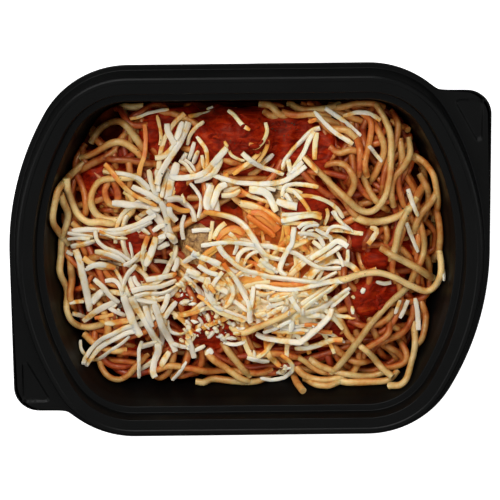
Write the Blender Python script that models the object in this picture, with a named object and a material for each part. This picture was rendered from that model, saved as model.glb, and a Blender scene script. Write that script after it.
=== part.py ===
"""Spaghetti and meatballs in a black thermoformed tray, with tomato sauce and shredded cheese.

Metres, +Z up. X runs along the tray, Y across it, and the origin is the middle of its base.
"""

import math
import random

import bmesh
import bpy
import numpy as np
from mathutils import Vector, geometry, noise

MM = 0.001

# Tray in plan, at the outer edge of its lip
HALF_LENGTH = 102.8 * MM
HALF_WIDTH = 83.0 * MM
END_RADIUS = 124.5 * MM
CORNER_RADIUS = 41.1 * MM
TAB_INSET = 12.3 * MM
TAB_RADIUS = 10.7 * MM
TAB_BLEND = 0.8 * MM

# Tray in section
TRAY_HEIGHT = 40.0 * MM
SHEET = 1.0 * MM
LIP_DROP = 8.9 * MM
LIP_WIDTH = 3.0 * MM
RISER_DRAFT = 1.4 * MM
FLANGE_WIDTH = 6.2 * MM
STEP_DROP = 5.7 * MM
STEP_DRAFT = 1.4 * MM
LEDGE_WIDTH = 2.9 * MM
FLOOR_Z = 2.0 * MM
FLOOR_FILLET = 2.2 * MM
WALL_DRAFT = math.radians(14.4)
FOOT_WIDTH = 3.0 * MM
PANEL_RISE = 1.0 * MM

# Sunk triangle on each tab
MARK_CORNERS = ((86.6, 68.2), (98.4, 68.2), (98.4, 47.5))
MARK_RADIUS = 1.6 * MM
MARK_DEPTH = 0.5 * MM

# The heap of spaghetti
GAP = 0.4 * MM
HEAP_EDGE_Z = 15.5 * MM
HEAP_SHOULDER_Z = 20.0 * MM
HEAP_MIDDLE_Z = 22.5 * MM
SHOULDER_SPAN = 13.0 * MM
CROWN_START = 8.0 * MM
CROWN_SPAN = 30.0 * MM
HEAP_LUMP = 0.6 * MM
HEAP_RINGS = (0.08, 0.25, 0.5, 1.0)
HEAP_MIDDLE_SCALES = (0.72, 0.4, 0.12)
NOODLE_RADIUS = 1.55 * MM
NOODLE_SIDES = 5
NOODLE_STEP = 6.0 * MM
NOODLE_COUNT = 22
NOODLE_LENGTH = (45.0 * MM, 105.0 * MM)
NOODLE_BEND_RADIUS = (16.0 * MM, 70.0 * MM)
NOODLE_TRIES = 24
NOODLE_SINK = 0.5 * MM
NOODLE_STIFFNESS = 3
NOODLE_SEED = 6

# Meatballs: name, middle (x, y) and half width, in millimetres
MEATBALLS = (
    ("meatball_1", -14.8, -0.3, 16.4),
    ("meatball_2", 19.7, 14.3, 16.0),
    ("meatball_3", 21.4, -24.6, 16.6),
    ("meatball_4", -4.5, 45.0, 13.6),
)
MEATBALL_Z = 17.8 * MM
MEATBALL_SQUASH = 0.87
MEATBALL_LUMPS = 0.5 * MM
MEATBALL_LUMP_SCALE = 1.7

# Toppings in plan: middle, then reach in millimetres at each bearing in degrees
SAUCE_MIDDLE = (0.0, 10.5)
SAUCE_REACH = ((-27, 71), (0, 49), (36, 44), (62, 55), (92, 55), (130, 66), (165, 50),
               (201, 56), (241, 61), (266, 56), (312, 59))
SAUCE_THICK = 2.2 * MM
SAUCE_CELL = 8.5 * MM
CHEESE_MIDDLE = (-6.2, -6.0)
CHEESE_REACH = ((0, 47), (32, 45), (65, 37), (88, 38), (112, 57), (132, 44), (155, 36), (176, 46),
                (216, 58), (240, 44), (270, 36), (307, 45), (335, 49))
CHEESE_HOLE = (-22.5, 4.0, 6.5)
CHEESE_THICK = 1.9 * MM
CHEESE_CELL = 8.0 * MM
RIM_SHARE = 0.45
RIM_FADE = 14.0 * MM
WALL_CLEARANCE = 1.0 * MM
TOPPING_CLEARANCE = 2.6 * MM
BLANKET_REACH = 3.0 * MM
BLANKET_PASSES = 4

# Shreds of cheese on the heap
SHRED_COUNT = 27
SHRED_HALF_WIDTH = 1.25 * MM
SHRED_HALF_THICK = 0.65 * MM
SHRED_LENGTH = (16.0 * MM, 38.0 * MM)
SHRED_STEP = 6.0 * MM
SHRED_BEND = 28.0
SHRED_MARGIN = 3.0 * MM
SHRED_OVERHANG = 14.0 * MM
SHRED_STIFFNESS = 2
SHRED_SEED = 5

# Shares of a cell's width in a sheet's staggered grid
ROW_PITCH = math.sqrt(3) / 2
EDGE_MARGIN = 0.45

# Points nearer than this are one after a cut or a union
MERGE = 0.002 * MM

# A route counts as inside only where the map of allowed cells reads above this
ALLOWED = 0.99
BEND_DRIFT = 0.05
START_TRIES = 30

# Height maps are kept on a square grid
CELL = 1.0 * MM
COLUMNS = round(HALF_LENGTH / CELL)
ROWS = round(HALF_WIDTH / CELL)
GRID_X, GRID_Y = np.meshgrid(
    np.arange(-COLUMNS, COLUMNS + 1) * CELL, np.arange(-ROWS, ROWS + 1) * CELL)

# The arcs of the plan: the end arc meets the corner arc on the line through both centres
END_X = HALF_LENGTH - END_RADIUS
CORNER_Y = HALF_WIDTH - CORNER_RADIUS
CORNER_X = END_X + math.sqrt((END_RADIUS - CORNER_RADIUS) ** 2 - CORNER_Y ** 2)
MEET = math.atan2(CORNER_Y, CORNER_X - END_X)

LIP_Z = TRAY_HEIGHT - LIP_DROP
LEDGE_Z = TRAY_HEIGHT - STEP_DROP
RIDGE_INSET = LIP_WIDTH + RISER_DRAFT
FLANGE_INSET = RIDGE_INSET + FLANGE_WIDTH
STEP_INSET = FLANGE_INSET + STEP_DRAFT
WELL_INSET = STEP_INSET + LEDGE_WIDTH


def clear_scene():
    """Removes whatever the file opened with."""
    for old in list(bpy.data.objects):
        bpy.data.objects.remove(old, do_unlink=True)


def finish(name, colour, roughness, metallic=0.0):
    """A plain Principled material."""
    material = bpy.data.materials.new(name)
    material.use_nodes = True
    shader = material.node_tree.nodes["Principled BSDF"]
    shader.inputs["Base Color"].default_value = (*colour, 1.0)
    shader.inputs["Roughness"].default_value = roughness
    shader.inputs["Metallic"].default_value = metallic
    return material


def new_object(name, mesh_bm, material=None, smooth=None):
    """Puts a bmesh into the scene, shaded smooth below the angle smooth."""
    mesh_bm.normal_update()
    mesh = bpy.data.meshes.new(name)
    mesh_bm.to_mesh(mesh)
    mesh_bm.free()
    if smooth is not None:
        mesh.shade_smooth()
        mesh.set_sharp_from_angle(angle=smooth)
    thing = bpy.data.objects.new(name, mesh)
    bpy.context.scene.collection.objects.link(thing)
    if material:
        mesh.materials.append(material)
    return thing


def bake_modifiers(thing):
    """Replaces a mesh by what its modifiers make of it."""
    graph = bpy.context.evaluated_depsgraph_get()
    mesh = bpy.data.meshes.new_from_object(thing.evaluated_get(graph))
    thing.modifiers.clear()
    thing.data = mesh


def subtract(thing, cutters):
    """Cuts each of the cutters out of thing and removes them."""
    for cutter in cutters:
        cutter.hide_render = True
        cutter.display_type = "WIRE"
        cut = thing.modifiers.new("cut", "BOOLEAN")
        cut.operation = "DIFFERENCE"
        cut.solver = "EXACT"
        cut.object = cutter
    bake_modifiers(thing)
    for cutter in cutters:
        bpy.data.objects.remove(cutter, do_unlink=True)


def fuse(thing, pieces):
    """Joins the pieces to thing as one closed solid and removes them."""
    group = bpy.data.collections.new(thing.name + "_pieces")
    bpy.context.scene.collection.children.link(group)
    for piece in pieces:
        group.objects.link(piece)
    join = thing.modifiers.new("join", "BOOLEAN")
    join.operation = "UNION"
    join.operand_type = "COLLECTION"
    join.collection = group
    join.solver = "EXACT"
    bake_modifiers(thing)
    for piece in pieces:
        bpy.data.objects.remove(piece, do_unlink=True)
    bpy.data.collections.remove(group)


def keep_main_shell(thing):
    """Drops loose scraps and fills sealed hollows, which are both shells of their own."""
    bm = bmesh.new()
    bm.from_mesh(thing.data)
    bmesh.ops.triangulate(bm, faces=bm.faces[:])
    bmesh.ops.remove_doubles(bm, verts=bm.verts[:], dist=MERGE)
    bmesh.ops.dissolve_degenerate(bm, edges=bm.edges[:], dist=MERGE / 2)
    bmesh.ops.triangulate(bm, faces=bm.faces[:])
    bm.verts.ensure_lookup_table()
    shells = []
    seen = set()
    for start in bm.verts:
        if start.index in seen:
            continue
        seen.add(start.index)
        shell = [start]
        for vert in shell:
            for edge in vert.link_edges:
                other = edge.other_vert(vert)
                if other.index not in seen:
                    seen.add(other.index)
                    shell.append(other)
        shells.append(shell)
    shells.sort(key=len)
    spare = [vert for shell in shells[:-1] for vert in shell]
    bmesh.ops.delete(bm, geom=spare, context="VERTS")
    bm.to_mesh(thing.data)
    bm.free()


def spans(first, last, count):
    """count even steps from first towards last, without last itself."""
    return [first + (last - first) * i / count for i in range(count)]


def quarter_outline(end_angles, corner_angles, straight_steps):
    """Points with their outward normals from +X round to +Y, at the lip's edge."""
    points = []
    for angle in end_angles:
        c, s = math.cos(angle), math.sin(angle)
        points.append((END_X + END_RADIUS * c, END_RADIUS * s, c, s))
    for angle in corner_angles:
        c, s = math.cos(angle), math.sin(angle)
        points.append((CORNER_X + CORNER_RADIUS * c, CORNER_Y + CORNER_RADIUS * s, c, s))
    for i in range(straight_steps + 1):
        points.append((CORNER_X * (1 - i / straight_steps), HALF_WIDTH, 0.0, 1.0))
    return points


def whole_outline(tab_quarter, plain_quarter):
    """The four quarters as one loop of (x, y, normal x, normal y, has a tab)."""
    half = [(x, y, nx, ny, True) for x, y, nx, ny in tab_quarter[:-1]]
    half += [(-x, y, -nx, ny, False) for x, y, nx, ny in reversed(plain_quarter[1:])]
    return half + [(-x, -y, -nx, -ny, tab) for x, y, nx, ny, tab in half]


def tab_reach(x, y, nx, ny):
    """How far the tab stands out past the lip, measured along the lip's normal."""
    tab_y = HALF_WIDTH - TAB_INSET
    middle_x = HALF_LENGTH - TAB_RADIUS
    middle_y = tab_y - TAB_RADIUS
    to_end = (HALF_LENGTH - x) / nx if nx > 0.001 else math.inf
    to_side = (tab_y - y) / ny if ny > 0.001 else math.inf
    to_side = 0.5 * (to_side + math.hypot(to_side, 2 * TAB_BLEND))
    reach = min(to_end, to_side)
    if x + nx * reach > middle_x and y + ny * reach > middle_y:
        dx, dy = x - middle_x, y - middle_y
        along = dx * nx + dy * ny
        beyond = dx * dx + dy * dy - TAB_RADIUS ** 2
        reach = min(reach, -along + math.sqrt(max(0.0, along * along - beyond)))
    return reach


def ring(outline, inset, z, tabs=False):
    """The outline moved in by inset, at height z; with tabs it takes in both of them."""
    points = []
    for x, y, nx, ny, has_tab in outline:
        out = -inset
        if tabs and has_tab:
            out += tab_reach(abs(x), abs(y), abs(nx), abs(ny))
        points.append((x + nx * out, y + ny * out, z))
    return points


def loft(bm, rings):
    """Skins rings of equal counts from one to the next, and closes both ends."""
    loops = [[bm.verts.new(point) for point in points] for points in rings]
    for low, high in zip(loops, loops[1:]):
        for i in range(len(low)):
            j = (i + 1) % len(low)
            bm.faces.new((low[i], low[j], high[j], high[i]))
    bm.faces.new(list(reversed(loops[0])))
    bm.faces.new(loops[-1])
    bmesh.ops.recalc_face_normals(bm, faces=bm.faces[:])


def wall_inset(z):
    """Inset of the well's inner wall at height z."""
    return WELL_INSET + (LEDGE_Z - z) * math.tan(WALL_DRAFT)


def tray_sections(outline):
    """Rings from the floor over the rim and back under to the base."""
    fillet_z = FLOOR_Z + FLOOR_FILLET
    floor_inset = wall_inset(fillet_z) + FLOOR_FILLET
    side = SHEET / math.cos(WALL_DRAFT)
    foot_outer = wall_inset(PANEL_RISE + FLOOR_FILLET) - side + FLOOR_FILLET
    return [
        ring(outline, floor_inset, FLOOR_Z),
        ring(outline, wall_inset(fillet_z), fillet_z),
        ring(outline, WELL_INSET, LEDGE_Z),
        ring(outline, STEP_INSET, LEDGE_Z),
        ring(outline, FLANGE_INSET, TRAY_HEIGHT),
        ring(outline, RIDGE_INSET, TRAY_HEIGHT),
        ring(outline, LIP_WIDTH, LIP_Z),
        ring(outline, 0.0, LIP_Z, tabs=True),
        ring(outline, 0.0, LIP_Z - SHEET, tabs=True),
        ring(outline, LIP_WIDTH + SHEET, LIP_Z - SHEET),
        ring(outline, RIDGE_INSET + SHEET, TRAY_HEIGHT - SHEET),
        ring(outline, FLANGE_INSET - SHEET, TRAY_HEIGHT - SHEET),
        ring(outline, STEP_INSET - SHEET, LEDGE_Z - SHEET),
        ring(outline, WELL_INSET - side, LEDGE_Z - SHEET),
        ring(outline, foot_outer - FLOOR_FILLET, FLOOR_FILLET + PANEL_RISE),
        ring(outline, foot_outer, 0.0),
        ring(outline, foot_outer + FOOT_WIDTH, 0.0),
        ring(outline, foot_outer + FOOT_WIDTH + PANEL_RISE, PANEL_RISE),
    ]


def mark_cutter(name, turn):
    """A rounded triangular prism that sinks the mark into a tab's top."""
    corners = [Vector((x * MM, y * MM)) * turn for x, y in MARK_CORNERS]
    points = []
    for i, corner in enumerate(corners):
        back = (corners[i - 1] - corner).normalized()
        on = (corners[(i + 1) % 3] - corner).normalized()
        half = back.angle(on) / 2
        middle = corner + (back + on).normalized() * MARK_RADIUS / math.sin(half)
        start = corner + back * MARK_RADIUS / math.tan(half) - middle
        end = corner + on * MARK_RADIUS / math.tan(half) - middle
        points += [middle + start.slerp(end, step / 3) * MARK_RADIUS for step in range(4)]
    bm = bmesh.new()
    loft(bm, [[(p.x, p.y, z) for p in points] for z in (LIP_Z - MARK_DEPTH, LIP_Z + SHEET)])
    return new_object(name, bm)


def build_tray(material):
    """The tray: one thin formed sheet with a stepped rim and two corner tabs."""
    fine = quarter_outline(
        spans(0.0, math.radians(24), 4) + spans(math.radians(24), MEET, 4),
        spans(MEET, math.radians(37), 4) + spans(math.radians(37), math.radians(90), 7), 2)
    plain = quarter_outline(
        spans(0.0, MEET, 5), spans(MEET, math.radians(90), 9), 2)
    bm = bmesh.new()
    loft(bm, tray_sections(whole_outline(fine, plain)))
    tray = new_object("tray", bm, material)
    subtract(tray, [mark_cutter("mark_1", 1), mark_cutter("mark_2", -1)])
    return tray


def inset_at(x, y):
    """Distance in from the lip's edge, on arrays of points."""
    x, y = np.abs(x), np.abs(y)
    to_end = END_RADIUS - np.hypot(x - END_X, y)
    to_side = HALF_WIDTH - y
    to_corner = CORNER_RADIUS - np.hypot(x - CORNER_X, y - CORNER_Y)
    in_corner = (x > CORNER_X) & (y > (x - END_X) * math.tan(MEET))
    return np.where(in_corner, to_corner, np.minimum(to_end, to_side))


def ease(value):
    """Smooth step from 0 to 1."""
    value = np.clip(value, 0.0, 1.0)
    return value * value * (3 - 2 * value)


def heap_top(x, y):
    """Height of the heap's bare core: a shoulder near the wall, then a low crown with lumps."""
    inward = inset_at(x, y) - wall_inset(HEAP_EDGE_Z) - GAP
    shoulder = (HEAP_SHOULDER_Z - HEAP_EDGE_Z) * ease(inward / SHOULDER_SPAN)
    crown = (HEAP_MIDDLE_Z - HEAP_SHOULDER_Z) * ease((inward - CROWN_START) / CROWN_SPAN)
    lumps = np.sin(x / (9 * MM) + 1.0) * np.cos(y / (8 * MM)) * HEAP_LUMP
    return HEAP_EDGE_Z + shoulder + crown + lumps * ease(inward / (9 * MM))


def read_map(field, x, y):
    """Height map at a point, between its four nearest cells."""
    column = min(max(x / CELL + COLUMNS, 0.0), 2 * COLUMNS - 1.001)
    row = min(max(y / CELL + ROWS, 0.0), 2 * ROWS - 1.001)
    i, j = int(column), int(row)
    u, v = column - i, row - j
    low = field[j, i] * (1 - u) + field[j, i + 1] * u
    high = field[j + 1, i] * (1 - u) + field[j + 1, i + 1] * u
    return float(low * (1 - v) + high * v)


def spread(field, reach):
    """Each cell takes the highest value within reach."""
    cells = int(reach / CELL)
    result = field.copy()
    for dy in range(-cells, cells + 1):
        for dx in range(-cells, cells + 1):
            if dx * dx + dy * dy <= (reach / CELL) ** 2:
                result = np.maximum(result, np.roll(field, (dy, dx), (0, 1)))
    return result


def soften(field, passes):
    """Blurs a height map by one cell a pass."""
    for _ in range(passes):
        field = (field * 2 + np.roll(field, 1, 0) + np.roll(field, -1, 0)) / 4
        field = (field * 2 + np.roll(field, 1, 1) + np.roll(field, -1, 1)) / 4
    return field


def blanket(field):
    """A smooth surface that lies on or above the map everywhere."""
    return soften(spread(field, BLANKET_REACH), BLANKET_PASSES)


def stamp_tube(field, path, radius):
    """Raises the map to the top of a round strand along the path."""
    reach = int(radius / CELL) + 1
    for start, end in zip(path, path[1:]):
        for share in (0.0, 1 / 3, 2 / 3):
            x, y, z = start.lerp(end, share)
            i, j = round(x / CELL) + COLUMNS, round(y / CELL) + ROWS
            rows = slice(max(j - reach, 0), j + reach + 1)
            columns = slice(max(i - reach, 0), i + reach + 1)
            away = (GRID_X[rows, columns] - x) ** 2 + (GRID_Y[rows, columns] - y) ** 2
            dome = z + np.sqrt(np.maximum(radius ** 2 - away, 0.0))
            field[rows, columns] = np.where(
                away < radius ** 2, np.maximum(field[rows, columns], dome), field[rows, columns])


def meatball(name, x, y, half_width, grow=0.0, material=None):
    """A lumpy hand-rolled ball, a little flattened; grow makes it larger for its socket."""
    bm = bmesh.new()
    bmesh.ops.create_uvsphere(bm, u_segments=12, v_segments=8, radius=1.0)
    middle = Vector((x * MM, y * MM, MEATBALL_Z))
    for vert in bm.verts:
        way = vert.co.normalized()
        lump = noise.noise(way * MEATBALL_LUMP_SCALE + Vector((x, y, 0.0))) * MEATBALL_LUMPS
        radius = half_width * MM + lump + grow
        vert.co = middle + Vector((way.x, way.y, way.z * MEATBALL_SQUASH)) * radius
    return new_object(name, bm, material, smooth=math.radians(60))


def ball_map(balls):
    """Height map of the tops of the balls, and zero beside them."""
    field = np.zeros_like(GRID_X)
    for _, x, y, half_width in balls:
        radius = half_width * MM + MEATBALL_LUMPS
        away = (GRID_X - x * MM) ** 2 + (GRID_Y - y * MM) ** 2
        dome = MEATBALL_Z + MEATBALL_SQUASH * np.sqrt(np.maximum(radius ** 2 - away, 0.0))
        field = np.where(away < radius ** 2, np.maximum(field, dome), field)
    return field


def reach_at(reach, bearing):
    """Distance to a topping's edge at a bearing, smoothly between the stated ones."""
    stops = list(reach) + [(reach[0][0] + 360, reach[0][1])]
    bearing = (bearing - stops[0][0]) % 360 + stops[0][0]
    for (a0, r0), (a1, r1) in zip(stops, stops[1:]):
        if bearing <= a1:
            return (r0 + (r1 - r0) * float(ease((bearing - a0) / (a1 - a0)))) * MM
    return stops[0][1] * MM


class Patch:
    """A topping's plan: an uneven outline about a middle, kept off the tray's wall."""

    def __init__(self, middle, reach):
        self.x, self.y = middle[0] * MM, middle[1] * MM
        limit = wall_inset(HEAP_SHOULDER_Z) + WALL_CLEARANCE
        self.reach = []
        for bearing in range(361):
            c, s = math.cos(math.radians(bearing)), math.sin(math.radians(bearing))
            distance = reach_at(reach, bearing)
            while inset_at(self.x + c * distance, self.y + s * distance) < limit:
                distance -= 0.5 * MM
            self.reach.append(distance)

    def inside(self, x, y):
        """How far in from the edge points lie, measured towards the middle."""
        bearing = np.degrees(np.arctan2(y - self.y, x - self.x)) % 360
        edge = np.interp(bearing, np.arange(361), self.reach)
        return edge - np.hypot(x - self.x, y - self.y)

    def outline(self, spacing):
        """Points round the edge about spacing apart."""
        points = []
        for bearing, distance in enumerate(self.reach):
            c, s = math.cos(math.radians(bearing)), math.sin(math.radians(bearing))
            point = (self.x + c * distance, self.y + s * distance)
            if not points or math.dist(point, points[-1]) > spacing:
                points.append(point)
        if math.dist(points[0], points[-1]) < spacing / 2:
            points.pop()
        return points

    def depth(self, x, y, thick):
        """Thickness of the topping: full in the middle, and thinner towards the edge."""
        fade = np.clip(self.inside(x, y) / RIM_FADE, 0.0, 1.0)
        return thick * (RIM_SHARE + (1 - RIM_SHARE) * np.sqrt(fade * (2 - fade)))


def triangulate(patch, cell, holes):
    """Plan points and triangles over the patch, on a staggered grid, round the holes."""
    loops = [patch.outline(cell)]
    for x, y, radius in holes:
        count = round(2 * math.pi * radius / cell) + 2
        loops.append([(x + radius * math.cos(2 * math.pi * i / count),
                       y + radius * math.sin(2 * math.pi * i / count)) for i in range(count)])
    points = []
    edges = []
    for loop in loops:
        first = len(points)
        points += loop
        edges += [(first + i, first + (i + 1) % len(loop)) for i in range(len(loop))]

    def clear_of_holes(x, y, space):
        return all(math.dist((x, y), hole[:2]) > hole[2] + space for hole in holes)

    rows = int(HALF_WIDTH / (cell * ROW_PITCH))
    margin = EDGE_MARGIN * cell
    columns = int(HALF_LENGTH / cell)
    for row in range(-rows, rows + 1):
        for column in range(-columns, columns + 1):
            x, y = (column + (row % 2) / 2) * cell, row * cell * ROW_PITCH
            if patch.inside(x, y) > margin and clear_of_holes(x, y, margin):
                points.append((x, y))
    flat = [Vector(point) for point in points]
    verts, _, faces, *_ = geometry.delaunay_2d_cdt(flat, edges, [], 0, MERGE)
    kept = []
    for face in faces:
        x = sum(verts[i].x for i in face) / 3
        y = sum(verts[i].y for i in face) / 3
        if patch.inside(x, y) > 0 and clear_of_holes(x, y, 0.0):
            kept.append(face)
    return verts, kept


def rest_on(ground, verts, faces):
    """Heights that put every face, not only its corners, on or above the ground map."""
    heights = [read_map(ground, v.x, v.y) for v in verts]
    shares = [(a / 4, b / 4, (4 - a - b) / 4) for a in range(5) for b in range(5 - a)]
    for _ in range(3):
        for face in faces:
            lack = 0.0
            for share in shares:
                x = sum(verts[i].x * part for i, part in zip(face, share))
                y = sum(verts[i].y * part for i, part in zip(face, share))
                z = sum(heights[i] * part for i, part in zip(face, share))
                lack = max(lack, read_map(ground, x, y) - z)
            for i in face:
                heights[i] += lack
    return heights


def stamp_face(field, corners):
    """Raises the map to a triangle, a little past its edges."""
    (x0, y0, z0), (x1, y1, z1), (x2, y2, z2) = corners
    i0, i1 = (round(f(x0, x1, x2) / CELL) + COLUMNS for f in (min, max))
    j0, j1 = (round(f(y0, y1, y2) / CELL) + ROWS for f in (min, max))
    part = (slice(j0 - 1, j1 + 2), slice(i0 - 1, i1 + 2))
    x, y = GRID_X[part], GRID_Y[part]
    area = (x1 - x0) * (y2 - y0) - (x2 - x0) * (y1 - y0)
    share_1 = ((x - x0) * (y2 - y0) - (x2 - x0) * (y - y0)) / area
    share_2 = ((x1 - x0) * (y - y0) - (x - x0) * (y1 - y0)) / area
    share_0 = 1 - share_1 - share_2
    within = np.minimum(np.minimum(share_0, share_1), share_2) > -0.1
    plane = z0 * share_0 + z1 * share_1 + z2 * share_2
    field[part] = np.where(within, np.maximum(field[part], plane), field[part])


def sheet(name, patch, cell, ground, thick, material, holes=()):
    """A layer of topping that lies on the ground map, thinner at its uneven edge.

    It returns the layer with the height map of its top.
    """
    verts, faces = triangulate(patch, cell, holes)
    heights = rest_on(ground, verts, faces)
    bm = bmesh.new()
    low = [bm.verts.new((v.x, v.y, z + GAP)) for v, z in zip(verts, heights)]
    high = [bm.verts.new((v.x, v.y, z + GAP + float(patch.depth(v.x, v.y, thick))))
            for v, z in zip(verts, heights)]
    top = np.zeros_like(GRID_X)
    sides = {}
    for a, b, c in faces:
        stamp_face(top, [high[i].co for i in (a, b, c)])
        bm.faces.new((high[a], high[b], high[c]))
        bm.faces.new((low[c], low[b], low[a]))
        for edge in ((a, b), (b, c), (c, a)):
            sides[edge] = sides.get(edge, 0) + 1
    for a, b in sides:
        if (b, a) not in sides:
            bm.faces.new((low[a], low[b], high[b], high[a]))
    loose = [vert for vert in bm.verts if not vert.link_faces]
    bmesh.ops.delete(bm, geom=loose, context="VERTS")
    return new_object(name, bm, material, smooth=math.radians(50)), top


def sweep(name, path, section):
    """A closed tube along the path; section lists (sideways, upward) corners."""
    bm = bmesh.new()
    loops = []
    for i, point in enumerate(path):
        ahead = path[min(i + 1, len(path) - 1)] - path[max(i - 1, 0)]
        side = ahead.cross(Vector((0.0, 0.0, 1.0))).normalized()
        up = side.cross(ahead).normalized()
        loops.append([tuple(point + side * a + up * b) for a, b in section])
    loft(bm, loops)
    return new_object(name, bm)


def lay_path(ground, flat_path, lift, stiffness):
    """Rests a plan route on the ground map, with the bends that a stiff strand makes."""
    heights = [read_map(ground, x, y) + lift for x, y in flat_path]
    floor = heights[:]
    for _ in range(stiffness):
        padded = [heights[0]] + heights + [heights[-1]]
        mean = [(a + 2 * b + c) / 4 for a, b, c in zip(padded, padded[1:], padded[2:])]
        heights = [max(m, f) for m, f in zip(mean, floor)]
    return [Vector((x, y, z)) for (x, y), z in zip(flat_path, heights)]


def wander(rng, start, heading, bend, length, step, allowed):
    """A plan route that curves steadily from start until it would leave the allowed cells."""
    x, y = start
    points = [(x, y)]
    drift = rng.uniform(-BEND_DRIFT, BEND_DRIFT) * bend
    for _ in range(int(length / step)):
        heading += bend * step
        bend += drift
        x += math.cos(heading) * step
        y += math.sin(heading) * step
        if read_map(allowed, x, y) < ALLOWED:
            break
        points.append((x, y))
    return points


def spread_starts(rng, open_cells, count):
    """Starting points among the open cells, each far from those before it."""
    starts = []
    while len(starts) < count:
        tries = []
        for _ in range(START_TRIES):
            row, column = open_cells[rng.randrange(len(open_cells))]
            tries.append(((column - COLUMNS) * CELL, (row - ROWS) * CELL))
        starts.append(max(
            tries, key=lambda t: min([math.dist(t, s) for s in starts], default=0.0)))
    return starts


def noodle_routes(allowed):
    """Seeded routes spread over the bare pasta, the longest of several tries for each."""
    rng = random.Random(NOODLE_SEED)
    routes = []
    for start in spread_starts(rng, np.argwhere(allowed > ALLOWED), NOODLE_COUNT):
        tries = []
        length = rng.uniform(*NOODLE_LENGTH)
        for _ in range(NOODLE_TRIES):
            bend = rng.choice((-1, 1)) / rng.uniform(*NOODLE_BEND_RADIUS)
            tries.append(wander(rng, start, rng.uniform(0, 2 * math.pi), bend,
                                length, NOODLE_STEP, allowed))
        routes.append(max(tries, key=len))
    return [route for route in routes if len(route) > 3]


def build_spaghetti(material, allowed):
    """The heap: a core with sockets for the meatballs, and strands fused to its top."""
    quarter = quarter_outline(spans(0.0, MEET, 4), spans(MEET, math.radians(90), 5), 2)
    outline = whole_outline(quarter, quarter)
    low_z = FLOOR_Z + FLOOR_FILLET
    edge_inset = wall_inset(HEAP_EDGE_Z) + GAP
    rings = [ring(outline, wall_inset(low_z) + FLOOR_FILLET + GAP, FLOOR_Z + GAP),
             ring(outline, wall_inset(low_z) + GAP, low_z + GAP),
             ring(outline, edge_inset, HEAP_EDGE_Z)]
    deepest = CORNER_RADIUS - MM
    for share in HEAP_RINGS:
        points = ring(outline, edge_inset + (deepest - edge_inset) * share, 0.0)
        rings.append([(x, y, float(heap_top(x, y))) for x, y, _ in points])
    for scale in HEAP_MIDDLE_SCALES:
        points = ring(outline, deepest, 0.0)
        rings.append([(x * scale, y * scale, float(heap_top(x * scale, y * scale)))
                      for x, y, _ in points])
    bm = bmesh.new()
    loft(bm, rings)
    core = new_object("spaghetti", bm, material)
    subtract(core, [meatball(f"socket_{i}", *ball[1:], grow=GAP)
                    for i, ball in enumerate(MEATBALLS)])

    ground = heap_top(GRID_X, GRID_Y)
    section = [(NOODLE_RADIUS * math.cos(2 * math.pi * i / NOODLE_SIDES),
                NOODLE_RADIUS * math.sin(2 * math.pi * i / NOODLE_SIDES))
               for i in range(NOODLE_SIDES)]
    strands = []
    for i, route in enumerate(noodle_routes(allowed)):
        path = lay_path(ground, route, NOODLE_RADIUS - NOODLE_SINK, NOODLE_STIFFNESS)
        stamp_tube(ground, path, NOODLE_RADIUS)
        strands.append(sweep(f"strand_{i}", path, section))
    fuse(core, strands)
    keep_main_shell(core)
    return ground


def shred_routes(patch, allowed):
    """Seeded routes over the cheese, evenly spread."""
    rng = random.Random(SHRED_SEED)
    open_cells = np.argwhere(patch.inside(GRID_X, GRID_Y) > SHRED_MARGIN)
    routes = []
    for start in spread_starts(rng, open_cells, SHRED_COUNT):
        routes.append(wander(rng, start, rng.uniform(0, 2 * math.pi),
                             rng.uniform(-SHRED_BEND, SHRED_BEND), rng.uniform(*SHRED_LENGTH),
                             SHRED_STEP, allowed))
    return [route for route in routes if len(route) > 2]


def build_cheese(material, patch, ground, lifted):
    """The mound of cheese: a thin layer, with shreds fused on that hang over its edge."""
    hole = tuple(value * MM for value in CHEESE_HOLE)
    cheese, top = sheet("shredded_cheese", patch, CHEESE_CELL, ground, CHEESE_THICK,
                        material, [hole])
    top = np.maximum(top, lifted + GAP)
    in_well = inset_at(GRID_X, GRID_Y) > wall_inset(HEAP_SHOULDER_Z) + 2 * WALL_CLEARANCE
    beside_hole = np.hypot(GRID_X - hole[0], GRID_Y - hole[1]) > hole[2]
    allowed = (patch.inside(GRID_X, GRID_Y) > -SHRED_OVERHANG) & in_well & beside_hole
    section = [(0.0, -SHRED_HALF_THICK), (SHRED_HALF_WIDTH, SHRED_HALF_THICK),
               (-SHRED_HALF_WIDTH, SHRED_HALF_THICK)]
    shreds = []
    for i, route in enumerate(shred_routes(patch, allowed.astype(float))):
        path = lay_path(top, route, SHRED_HALF_THICK / 2, SHRED_STIFFNESS)
        shreds.append(sweep(f"shred_{i}", path, section))
    fuse(cheese, shreds)
    keep_main_shell(cheese)


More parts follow.
